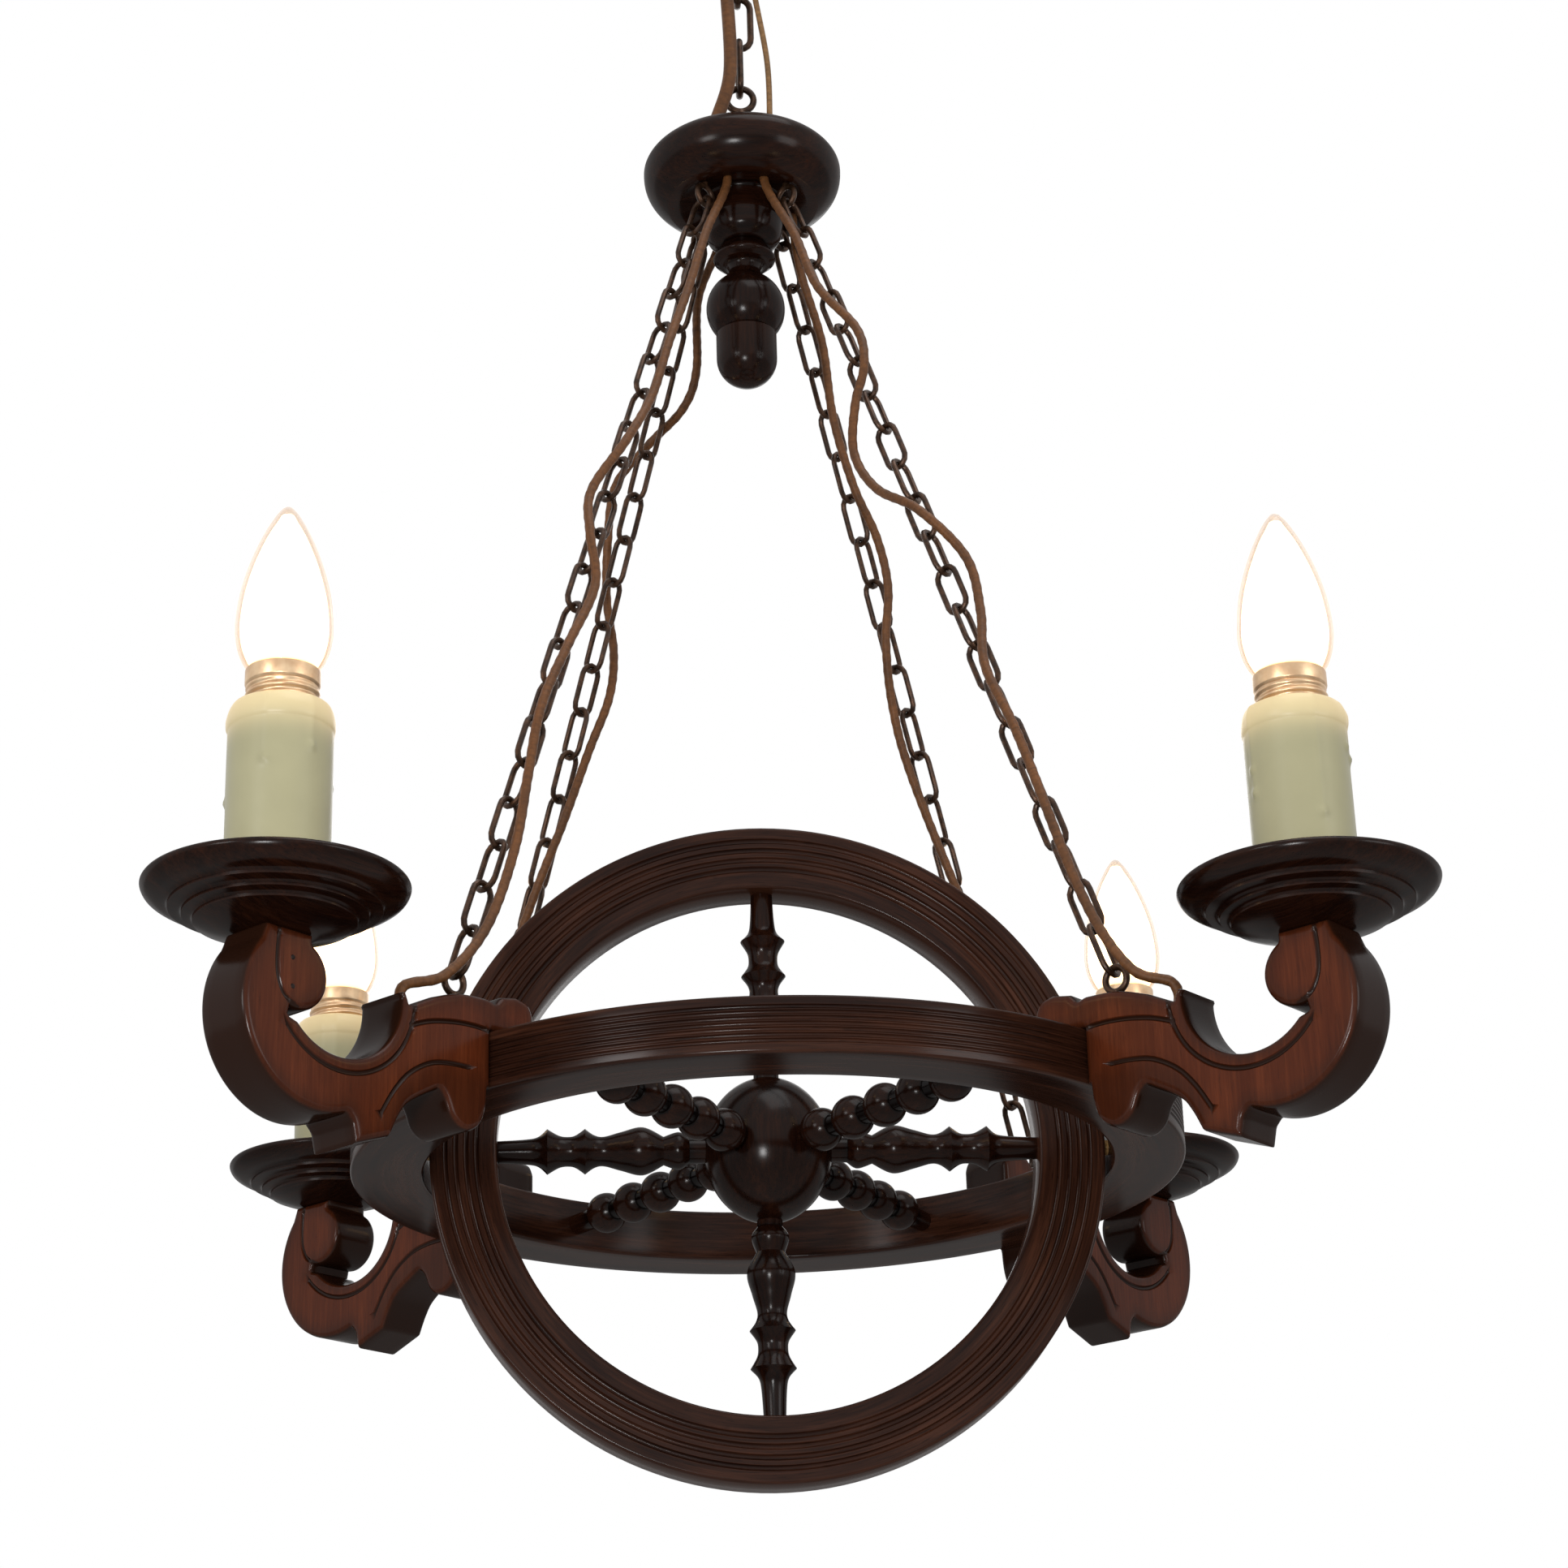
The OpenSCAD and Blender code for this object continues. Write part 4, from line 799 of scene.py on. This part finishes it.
class LIGHT_OT_wheel(bpy.types.Operator):
    """Turns the two rings, the hub and the eight spokes"""
    bl_idname = "light.wheel"
    bl_label = "Wheel"

    def execute(self, context):
        size = context.scene.light_sizes
        flat, upright = (lathe(profile, size.turns, True, section=True, seed=seed)
                         for profile, seed in ((flat_ring_profile(size.fine_reed / MM), 1),
                                               (upright_ring_profile(size.reed / MM), 2)))
        piece("flat_ring", flat, "ring_wood", "rim_horizontal")
        piece("upright_ring", upright.turned("X", 90), "ring_wood", "rim_vertical")
        a = np.radians(np.linspace(-90, 90, 49))
        ball = lathe(np.stack([HUB_R * np.cos(a), HUB_HALF * np.sin(a)], 1), 96, seed=3)
        piece("hub", ball, "dark_wood", "hub_ball")
        for k, (side, axis, angle, half) in enumerate([
                ("left", "Y", -90, HUB_R), ("right", "Y", 90, HUB_R), ("top", "Y", 0, HUB_HALF),
                ("bottom", "X", 180, HUB_HALF)]):
            profile = baluster(hub_seat(half), UPRIGHT_RING["inner"] - 0.1)
            spoke = lathe(profile, 48, seed=4 + k).turned(axis, angle)
            piece(f"baluster_{side}", spoke, "dark_wood", f"spoke_{side}")
        for k, (quadrant, angle) in enumerate(BOBBIN_ANGLES.items()):
            beads = lathe(bobbin_profile(), 48, seed=8 + k).turned("Y", 90).turned("Z", angle)
            piece(f"beaded_spoke_{quadrant}", beads, "dark_wood", f"bobbin_{quadrant}")
        refinished("beech_dowel", "rim_dowels", "arm_dowels")
        return {"FINISHED"}


# ---------------------------------------------------------------- arms

U_CENTRE = (LAMP_U - 22, ARM_TOP - 12.5)
U_R = 27.5
LOBE_CENTRE = (LAMP_U - 2.2, ARM_TOP - 15)
LOBE_R = 12.8
BACK_CENTRE = (LAMP_U - 12.5, ARM_TOP - 27)
BACK_R = 34.5
NAILS = ((1.4, -10.4), (1.1, -20.6))


def root(x, z):
    """A point of an arm's side view from the flat ring's outer face."""
    return FLAT_RING["outer"] + x, z


def scroll(x, z):
    """A point of an arm's side view from the middle of its top, under the lamp."""
    return LAMP_U + x, ARM_TOP + z


def arm_outline():
    """Side view of a scroll arm as [distance from the wheel's axis, height]."""
    top, gap = FLAT_TOP, 0.1
    return np.vstack([
        [root(-22, top + gap), root(-0.5, top + gap), root(-0.5, -top - 0.3)],
        spline([root(0.6, -top - 0.3), root(1.5, -19), root(4, -25), root(9, -28.2),
                root(14, -28.2), root(18.5, -25), root(21.5, -19), root(24.5, -16)], 5),
        spline([scroll(-67, -42), scroll(-54, -49.5), scroll(-49, -55.5), scroll(-45, -63.5)], 5),
        [scroll(-29.2, -69.2), scroll(-27.5, -62)],
        arc(BACK_CENTRE, BACK_R, -111, 38, 60),
        [scroll(12.5, 0), scroll(-8, 0)],
        arc(LOBE_CENTRE, LOBE_R, 117, 285, 40),
        [scroll(2, -30.6)],
        arc(U_CENTRE, U_R, -45, -180, 48),
        [scroll(-48.5, -11), scroll(-51, -10), scroll(-53, -14.5)],
        spline([root(27.5, 17), root(14.5, 21.3), root(0.5, 22.3)], 5),
        [root(-3, 21.3), root(-6, 24.5)],
        spline([root(-13.5, 26), root(-19.5, 24.5), root(-22, 20)], 5)])


def carved_lines():
    """Lines cut in an arm's faces: along the bowl, round the lobe, and two over and under the
    shoulder."""
    return [
        arc(U_CENTRE, 33, -41, -188, 48),
        spline([scroll(7.2, -0.4), scroll(7.9, -8), scroll(7.9, -15), scroll(6.8, -20),
                scroll(4.2, -24.4), scroll(-1.2, -27.4)], 5),
        spline([scroll(-53.5, -22), root(28.5, 7.5), root(16.5, 9.8), root(5.5, 10.4),
                root(-2.5, 9.5)], 5),
        spline([scroll(-40.3, -56), scroll(-46, -47), scroll(-53, -39.5), scroll(-62.5, -34),
                root(20, -6), root(10.5, -5.5)], 5)]


def root_shade_and_stain(points):
    """Darker tone under the lower carved line, from the wheel to the foot: painted shade where
    the ring shades the arm's root, with a darker stain there as well. It is
    0.5 / (1 + e^(-h/2)) at a depth h under the line."""
    line = carved_lines()[-1][::-1]
    under = np.interp(points[:, 0], line[:, 0], line[:, 1]) - points[:, 2]
    held = 1 / (1 + np.exp((points[:, 0] - scroll(-38, 0)[0]) / 1.5))
    return 0.5 * held / (1 + np.exp(-under / 2))


class LIGHT_OT_arms(bpy.types.Operator):
    """Saws and carves the four scroll arms, and drives their nails and screw eyes"""
    bl_idname = "light.arms"
    bl_label = "Scroll arms"

    def execute(self, context):
        size = context.scene.light_sizes
        for k, (quadrant, angle) in enumerate(QUADRANTS.items()):
            board = sawn_board(arm_outline(), carved_lines(), ARM_T, size.round_over / MM,
                               size.carving / MM)
            board.grain = board.grain + 75.0 * k
            # Painted shade, with a darker stain, under the lower carved line near the wheel
            board.stain = np.maximum(board.stain, root_shade_and_stain(board.points))
            piece(f"scroll_board_{quadrant}", board.turned("Z", angle), "arm_wood",
                  f"arm_{quadrant}", sharp=50)
        heads = []
        for x, z in NAILS:
            u, h = scroll(x, z)
            head = lathe([(0, 0), (1.0, 0), (1.0, 5.1), (0.75, 5.4), (0, 5.5)], 16)
            heads.append(head.turned("X", -90).moved(u, ARM_T / 2 - 5.2, h).turned("Z", 225))
        piece("nails_in_scroll", join(*heads), "nail_steel", "scroll_nails")
        eyes = [screw_eye().turned("X", 180).moved(FLAT_RING["outer"] + EYE_LOW_U, 0, EYE_LOW_Z)
                .turned("Z", angle) for angle in QUADRANTS.values()]
        piece("screw_eyes_arms", join(*eyes), "bronze_steel", "arm_hooks")
        return {"FINISHED"}


# ---------------------------------------------------------------- chains and cords

def screw_eye():
    """Wire ring about the origin with its shank along +Z."""
    ring = wire_ring(EYE_R, EYE_WIRE)
    shank = lathe([(0, EYE_R - 0.5), (SHANK_R, EYE_R - 0.5), (SHANK_R, EYE_R + SHANK_L - 2.5),
                   (0, EYE_R + SHANK_L - 0.5)], 14)
    return join(ring, shank)


class LIGHT_OT_chains(bpy.types.Operator):
    """Bends the links of the four chains"""
    bl_idname = "light.chains"
    bl_label = "Chains"

    def execute(self, context):
        lean = math.degrees(math.atan2(CHAIN_RUN, CHAIN_RISE))
        first = EYE_R - EYE_WIRE / 2 + LINK_PITCH / 2
        for quadrant, angle in QUADRANTS.items():
            links = []
            for k in range(LINK_COUNT):
                link = oval_link(LINK_PITCH, LINK_W, LINK_WIRE).turned("Z", 0 if k % 2 else 90)
                link.moved(0, 0, first + k * LINK_PITCH).turned("Y", 180 - lean)
                links.append(link.moved(EYE_TOP_U, 0, CANOPY_Z - EYE_DROP).turned("Z", angle))
            piece(f"link_chain_{quadrant}", join(*links), "bronze_steel", f"chain_{quadrant}")
        return {"FINISHED"}


def cord_piece(name, node, route, diameter, angle=0, lobe=0.0,
               finish=None):
    """Cord along its route. Its two cores wind round each other once in each twist, so that the
    radius at angle j and length l is r (1 - lobe (1 - cos 2(j - 2 pi l / twist)) / 2)."""
    path = turn(even(spline(route, 12), CORD_STEP), "Z", angle)
    far = np.arange(len(path)) * CORD_STEP
    j = np.linspace(0, 2 * np.pi, CORD_SIDES, endpoint=False)
    wind = 2 * (j[None, :] - 2 * np.pi * far[:, None] / CORD_TWIST)
    radius = diameter / 2 * (1 - lobe * (1 - np.cos(wind)) / 2)
    across = turn(np.array([[0.0, 1.0, 0.0]]), "Z", angle)[0]
    made = piece(name, tube(path, radius, CORD_SIDES, across), "brown_cord", node, finish=finish)


class LIGHT_OT_cords(bpy.types.Operator):
    """Lays the cords along the chains, and the supply cord and earth wire up to the connector"""
    bl_idname = "light.cords"
    bl_label = "Cords"

    def execute(self, context):
        connector = dressed("cord_connector", "connector_block", "white_plastic", edge=0.6)
        for quadrant, angle in QUADRANTS.items():
            cord_piece(f"lamp_cord_{quadrant}", f"cord_{quadrant}", ROUTES[quadrant], CORD_D,
                       angle, lobe=0.1)
        cord_piece("supply_lead", "supply_cord", ROUTE_SUPPLY, SUPPLY_D)
        cord_piece("earth_lead", "earth_wire", ROUTE_EARTH, EARTH_D, finish="earth")
        return {"FINISHED"}


# ---------------------------------------------------------------- canopy and ceiling

def canopy_profile():
    """Stem, cup, collar and round body of the canopy, about its rod, as [radius, height]. Under
    its widest line the body is R cos(a)^0.83 wide at the depth b sin(a)^0.83, and over it an
    ellipse."""
    h = CANOPY_HALF
    low = -h - STEM_L
    under = np.radians(np.linspace(45, 0, 28))[:-1]
    over = np.linspace(0, math.asin(CANOPY_FLAT / h), 20)
    return np.vstack([
        [(BORE_R, low)],
        spline([(11, low), (13.6, low + 2.5), (11.5, low + 6), (10.5, low + 8)], 6),
        spline([(12.5, low + 9), (16, low + 13), (17.4, low + 19), (17.5, -h - 9)], 6),
        spline([(17.5, -h - 7.5), (16.6, -h - 3), (17.4, -h + 1.2), (21, -h + 0.8), (25, -h + 0.4),
                (29, -h - 0.6)], 6)[:-1],
        np.stack([CANOPY_R * np.cos(under)**0.83, -CANOPY_BULGE * np.sin(under)**0.83], 1),
        np.stack([CANOPY_R * np.cos(over), h * np.sin(over)], 1),
        [(27, CANOPY_FLAT), (27, CANOPY_FLAT - 3), (BORE_R, CANOPY_FLAT - 3)]])


def finial_profile():
    """Acorn: neck, ball and a round-ended tip."""
    top = -CANOPY_HALF - STEM_L
    low = top - FINIAL_L
    ball = top - 22.5
    return np.vstack([
        arc((0, low + FINIAL_TIP_R), FINIAL_TIP_R, -90, 0, 16),
        [(FINIAL_TIP_R, ball - 13)],
        arc((0, ball), FINIAL_BALL_R, -49, 58, 24),
        spline([(8, top - 7), (7, top - 4), (7.6, top - 1), (9.5, top)], 6),
        [(0, top)]])


class LIGHT_OT_canopy(bpy.types.Operator):
    """Turns the canopy and its finial, and hangs them from the hook"""
    bl_idname = "light.canopy"
    bl_label = "Canopy and hook"

    def execute(self, context):
        body = lathe(canopy_profile(), 112, True, along=False, seed=12).moved(0, 0, CANOPY_Z)
        acorn = lathe(finial_profile(), 72, seed=13).moved(0, 0, CANOPY_Z)
        piece("canopy_body", body, "dark_wood", "canopy_disc")
        piece("acorn_finial", acorn, "dark_wood", "finial")
        dressed("canopy_lid", "canopy_cover", "dark_wood")
        eyes = [screw_eye().moved(EYE_TOP_U, 0, CANOPY_Z - EYE_DROP).turned("Z", angle)
                for angle in QUADRANTS.values()]
        piece("screw_eyes_canopy", join(*eyes), "bronze_steel", "canopy_hooks")
        stem = lathe(np.vstack([
            [(BORE_R, 0), (7.2, 0), (7.5, 0.4), (7.5, 5.6), (7.2, 6)],
            spline([(5.2, 7), (3, 12), (2.6, 19), (2.2, LOOP_STEM)], 6),
            [(0, LOOP_STEM), (0, 5.2), (BORE_R, 5)]]), 40, True)
        ring = wire_ring(LOOP_R, HEAVY_WIRE, 36, 14).moved(0, 0, LOOP_STEM + LOOP_R)
        piece("canopy_loop", join(stem.moved(0, 0, CANOPY_TOP), ring.moved(0, 0, CANOPY_TOP)),
              "bronze_steel", "canopy_eye")
        low, middle_one, top = (
            oval_link(HEAVY_PITCH, HEAVY_W, HEAVY_WIRE, sides=14).turned("Z", 0 if k % 2 else 90)
            .moved(0, 0, HEAVY_LOW + (k + 0.5) * HEAVY_PITCH) for k in range(3))
        piece("hanging_links", join(low, middle_one), "bronze_steel", "suspension_links")
        piece("hook_link", top, "bronze_steel", "suspension_link_top", "link")
        a = np.radians(np.linspace(100, 405, 40))
        loop = np.stack([HOOK_R * np.cos(a), 0 * a, HOOK_R * np.sin(a)], 1)
        bend = np.array([[0, 0, HOOK_R + 17.5], [0, 0, HOOK_R + 3.5], [-0.4, 0, HOOK_R + 1.2]])
        wire = tube(even(spline(np.vstack([bend, loop]), 2), 1.2), HOOK_WIRE / 2, 14)
        flange = lathe([(0, 4.5), (5.6, 4.5), (6, 4.9), (6, 5.9), (0, 5.95)], 32)
        hook = join(wire.moved(0, 0, HOOK_Z), flange.moved(0, 0, HOOK_Z + HOOK_R))
        hook.points[:, 2] = np.minimum(hook.points[:, 2], HOOK_Z + HOOK_R + 8.5)
        piece("hook", hook, "steel", "ceiling_hook", "ceiling")
        dressed("ceiling_plate", "ceiling_rose", "steel", "ceiling", 0.6)
        refinished("steel", "canopy_rod")
        refinished("white_plastic", "canopy_terminal")
        return {"FINISHED"}


# ---------------------------------------------------------------- lamps

def pan_profile():
    """Dish with stepped rings under its rim and a shallow floor. It is drawn a hair small,
    because its circle has more facets than the CAD's and would stand past the CAD's box."""
    r, h = PAN_R - PAN_SHY, PAN_H
    return np.vstack([
        [(BORE_R, 0), (13, 0)],
        spline([(15.5, 0.8), (r - 23, 3.2), (r - 18.2, 5)], 6),
        spline([(r - 18.2, 6.1), (r - 17.2, 6.8), (r - 14.4, 7.4)], 5),
        spline([(r - 14.4, 8.5), (r - 13.2, 9.3), (r - 9.6, 9.9)], 5),
        spline([(r - 9.6, 11), (r - 8.4, 11.8), (r - 4.6, 12.9), (r - 1.4, h - 4.6),
                (r, h - 2), (r - 0.6, h - 0.5), (r - 1.8, h)], 6),
        spline([(r - 3.4, h - 0.3), (r - 5.5, h - 1.5), (r - 8, h - 2)], 4),
        [(17, h - 2), (BORE_R, h - 2)]])


def wax_runs(seed, thickness, outer):
    """Swell of a candle tube with runs of wax on its outer stations: each is a narrow ridge from
    the lip down to a drop at its own height, exp(-(arc / width)^2) across and smoothly ended
    along."""
    draw = np.random.default_rng(seed)
    at = np.sort(draw.uniform(0, 2 * np.pi, WAX_RUNS))
    foot = SLEEVE_TOP - draw.uniform(16, 46, WAX_RUNS)
    width = draw.uniform(1.1, 2.0, WAX_RUNS)

    def swell(a, z):
        total = 0
        for k in range(WAX_RUNS):
            gap = np.abs((a - at[k] + np.pi) % (2 * np.pi) - np.pi) * SLEEVE_R
            fade = 1 / (1 + np.exp(-(z - foot[k]) / 0.7))
            ridge = 0.6 * thickness * np.exp(-(gap / width[k]) ** 2) * fade
            drop = 1.9 * thickness * np.exp(-(gap / 1.7) ** 2 - ((z - foot[k]) / 1.9) ** 2)
            total = np.maximum(total, np.maximum(ridge, drop))
        melt = 0.5 * thickness * np.sin(3 * a + seed) * np.exp(-((z - SLEEVE_TOP + 5) / 3) ** 2)
        total += melt
        total[outer:] = 0
        return total
    return swell


def sleeve_profile():
    """Candle tube with its wall and a soft lip, closed round, and the number of its outer
    stations."""
    r, top = SLEEVE_R, SLEEVE_TOP
    outside = np.stack([np.full(60, r), np.linspace(PAN_FLOOR, top - 9.4, 60)], 1)
    lip = spline([(r, top - 9.4), (r + 0.45, top - 8.4), (r + 0.6, top - 7), (r + 0.5, top - 4.6),
                  (r - 0.05, top - 2.4), (r - 0.8, top - 0.8), (r - 1.3, top - 0.1)], 4)
    inner = r - SLEEVE_WALL
    bore = [(inner, top - 0.5), (inner, PAN_FLOOR)]
    return np.vstack([outside, lip[1:], bore]), len(outside) + len(lip) - 2


def glass_line(inset):
    """Outline of the glass from its neck to its tip, moved in by an inset."""
    g, c, n = GLASS_R, GLASS_L, CAP_R - 0.9
    return spline([
        (n - inset, CAP_TOP - 3.5), (n - inset, CAP_TOP), (15 - inset, CAP_TOP + c * 0.07),
        (g - 0.8 - inset, CAP_TOP + c * 0.155), (g - inset, CAP_TOP + c * 0.27),
        (g * 0.93 - inset, CAP_TOP + c * 0.45), (g * 0.76 - inset, CAP_TOP + c * 0.63),
        (g * 0.52 - inset, CAP_TOP + c * 0.8),
        (g * 0.27 - inset * 0.7, CAP_TOP + c * 0.93 - inset * 0.6),
        (g * 0.1, CAP_TOP + c * 0.99 - inset)], 6)


def cap_surface():
    """Screw cap: its thread is the radius R(z) + w cos(2 pi (z - low) / pitch - a), which winds
    once round for each pitch, between a plain skirt and a collar."""
    low = CAP_TOP - CAP_L
    pitch = (CAP_L - 13) / CAP_TURNS
    z = np.linspace(low + 6, CAP_TOP - 6.5, 60)
    profile = np.vstack([
        [(0, low), (4.5, low), (4.5, low + 1.5), (CAP_R - 3, low + 5)],
        np.stack([np.full(60, CAP_R - 0.5), z], 1),
        [(CAP_R - 0.8, CAP_TOP - 6.2), (CAP_R - 0.1, CAP_TOP - 5.5), (CAP_R, CAP_TOP - 5.2),
         (CAP_R, CAP_TOP - 0.3), (CAP_R - 0.2, CAP_TOP), (CAP_R - 0.7, CAP_TOP),
         (CAP_R - 0.7, CAP_TOP - 4), (0, CAP_TOP - 4)]])

    def thread(a, height):
        below = np.clip((height - low - 5.5) / 2, 0, 1)
        above = np.clip((CAP_TOP - 6.2 - height) / 2, 0, 1)
        return 0.45 * (below * above) * np.cos(2 * np.pi * (height - low) / pitch - a)
    return lathe(profile, 64, swell=thread)


class LIGHT_OT_lamps(bpy.types.Operator):
    """Turns the drip pans and makes the candle tubes and the lit bulbs"""
    bl_idname = "light.lamps"
    bl_label = "Candle lamps"

    def execute(self, context):
        run = context.scene.light_sizes.wax_run / MM
        wall, outer = sleeve_profile()
        shell = np.vstack([glass_line(0), [(0, CAP_TOP + GLASS_L)],
                           [(0, CAP_TOP + GLASS_L - GLASS_WALL)], glass_line(GLASS_WALL)[::-1]])
        coil = np.vstack([[(0, CAP_TOP - 3.2)], glass_line(GLASS_WALL + 1.2)[2:-3],
                          [(0, CAP_TOP + GLASS_L - 5)]])
        for k, (quadrant, angle) in enumerate(QUADRANTS.items()):
            bulb = f"bulb_{quadrant}"
            pan = lathe(pan_profile(), 128, True, along=False, seed=20 + k).moved(0, 0, ARM_TOP)
            candle = lathe(wall, 128, True, wax_runs(30 + k, run, outer))
            for name, surface, slot, node, body, finish in (
                    ("pan", pan, "dark_wood", f"drip_pan_{quadrant}", "lamp", None),
                    ("candle_tube", candle, "candle_plastic", f"candle_sleeve_{quadrant}", "lamp",
                     None),
                    ("screw_cap", cap_surface(), "cap_brass", f"bulb_cap_{quadrant}", bulb, None),
                    ("glass", lathe(shell, 72, True), "bulb_glass", f"bulb_glass_{quadrant}", bulb,
                     None),
                    ("bulb_glow", lathe(coil, 48), "bulb_glass", None, bulb, "coil")):
                surface.moved(LAMP_U, 0, 0).turned("Z", angle)
                piece(f"{name}_{quadrant}", surface, slot, node, body, finish)
        refinished("brass", "lamp_nipples", "lamp_nuts")
        refinished("white_plastic", "lamp_holders")
        return {"FINISHED"}


# ---------------------------------------------------------------- stage

# Photograph's camera, fitted to the wheel: place about the wheel's middle, and the directions
# to the right, up and ahead
CAMERA_AT = (-90.531, -1246.596, -349.718)
CAMERA_RIGHT = (0.997185, -0.069753, -0.027514)
CAMERA_UP = (-0.000676, -0.375291, 0.926907)
CAMERA_AHEAD = (0.074981, 0.924279, 0.374281)


def standing(axes, place):
    """Matrix of a thing at a place, with its own X, Y and Z along the axes."""
    made = np.eye(4)
    made[:3, :3] = np.stack(axes, 1)
    made[:3, 3] = place
    return Matrix(made.tolist())


class LIGHT_OT_camera(bpy.types.Operator):
    """Sets the photograph's camera"""
    bl_idname = "light.camera"
    bl_label = "Camera"

    def execute(self, context):
        data = bpy.data.cameras.new("photograph")
        data.sensor_width, data.sensor_fit = 36, "HORIZONTAL"
        data.lens = context.scene.light_view.lens / MM
        data.clip_start, data.clip_end = 0.05, 50
        camera = bpy.data.objects.new("photograph", data)
        context.scene.collection.objects.link(camera)
        camera.matrix_world = standing((CAMERA_RIGHT, CAMERA_UP, -np.array(CAMERA_AHEAD)),
                                       to_row(np.array(CAMERA_AT)))
        context.scene.camera = camera
        return {"FINISHED"}


# Soft lights: side in metres, power in watts, and place about the middle of the light
LAMPS = {
    "window left": (0.4, 5.5, (-1.1, -1.3, 0.2)),
    "ceiling wash": (1.0, 8, (0.3, -0.5, 1.5)),
    "window right": (0.6, 4.5, (1.2, -1.1, 0.15)),
    "beside the camera": (0.2, 7, (-0.3, -1.3, -0.3)),
    "back": (0.8, 4, (0.2, 1.6, 0.6)),
}
ROOM_LIGHT, FLOOR_LIGHT, FLOOR_R = 0.28, 0.25, 20


def lamp(name, size, power, place, aim):
    """Soft square light that faces a point."""
    data = bpy.data.lights.new(name, "AREA")
    data.shape, data.size, data.energy = "SQUARE", size, power
    made = bpy.data.objects.new(name, data)
    bpy.context.scene.collection.objects.link(made)
    z = unit(place - aim)
    x = unit(np.cross((0.0, 0.0, 1.0), z))
    made.matrix_world = standing((x, np.cross(z, x), z), place)


def seen(tree):
    """1 for the rays of the camera, of gloss and of glass, and 0 for the light on the object."""
    camera, gloss, glass = (add(tree, "ShaderNodeLightPath", out=f"Is {ray} Ray")
                            for ray in ("Camera", "Glossy", "Transmission"))
    both = add(tree, "ShaderNodeMath", {0: camera, 1: gloss}, operation="MAXIMUM")
    return add(tree, "ShaderNodeMath", {0: both, 1: glass}, operation="MAXIMUM")


class LIGHT_OT_stage(bpy.types.Operator):
    """Lays the pale floor, and sets the background and the soft lights"""
    bl_idname = "light.stage"
    bl_label = "Stage"

    def execute(self, context):
        scene = context.scene
        scene.view_settings.view_transform = "Standard"
        world = bpy.data.worlds.new("pale room")
        scene.world = world
        world.use_nodes = True
        tree = world.node_tree
        strength = add(tree, "ShaderNodeMapRange", {"Value": seen(tree), "To Min": ROOM_LIGHT})
        shaded(tree.nodes["Background"], Color=(1, 1, 1, 1), Strength=strength)
        made, tree, shader = blank("pale floor")
        glow = add(tree, "ShaderNodeMapRange", {"Value": seen(tree), "To Max": FLOOR_LIGHT})
        shaded(shader, Base_Color=(0.86, 0.86, 0.85, 1), Roughness=0.9,
               Emission_Color=(1.0, 1.0, 0.99, 1), Emission_Strength=glow)
        a = np.linspace(0, 2 * np.pi, 128, endpoint=False)
        rim = [FLOOR_R * np.cos(a), FLOOR_R * np.sin(a), 0 * a + scene.light_view.floor]
        mesh = bpy.data.meshes.new("floor")
        mesh.from_pydata(np.stack(rim, 1), [], [list(range(len(a)))])
        mesh.materials.append(made)
        floor = bpy.data.objects.new("floor", mesh)
        scene.collection.objects.link(floor)
        aim = to_row(np.array([0.0, 0.0, 60.0]))
        for name, (size, power, place) in LAMPS.items():
            lamp(name, size, power, aim + place, aim)
        return {"FINISHED"}


# ---------------------------------------------------------------- add-on

OPERATORS = (LIGHT_OT_camera, LIGHT_OT_cords, LIGHT_OT_wheel, LIGHT_OT_arms, LIGHT_OT_chains,
             LIGHT_OT_canopy, LIGHT_OT_lamps, LIGHT_OT_stage)


class LIGHT_PT_sidebar(bpy.types.Panel):
    """Lists the settings and the steps"""
    bl_idname = "LIGHT_PT_sidebar"
    bl_label = "Hanging light"
    bl_space_type = "VIEW_3D"
    bl_region_type = "UI"
    bl_category = "Hanging light"

    def draw(self, context):
        for group in (context.scene.light_finish, context.scene.light_sizes,
                      context.scene.light_view):
            box = self.layout.box()
            for name in group.__annotations__:
                box.prop(group, name)
        for step in OPERATORS:
            self.layout.operator(step.bl_idname)


CLASSES = (LightFinish, LightSizes, LightView, *OPERATORS, LIGHT_PT_sidebar)


def register():
    """Registers the classes and the settings."""
    for made in CLASSES:
        bpy.utils.register_class(made)
    bpy.types.Scene.light_finish = PointerProperty(type=LightFinish)
    bpy.types.Scene.light_sizes = PointerProperty(type=LightSizes)
    bpy.types.Scene.light_view = PointerProperty(type=LightView)


def unregister():
    """Takes the settings and the classes out again."""
    for name in ("light_finish", "light_sizes", "light_view"):
        delattr(bpy.types.Scene, name)
    for made in reversed(CLASSES):
        bpy.utils.unregister_class(made)


def main():
    """Makes every piece and the stage."""
    register()
    for step in OPERATORS:
        group, name = step.bl_idname.split(".")
        getattr(getattr(bpy.ops, group), name)()


if __name__ == "__main__":
    main()
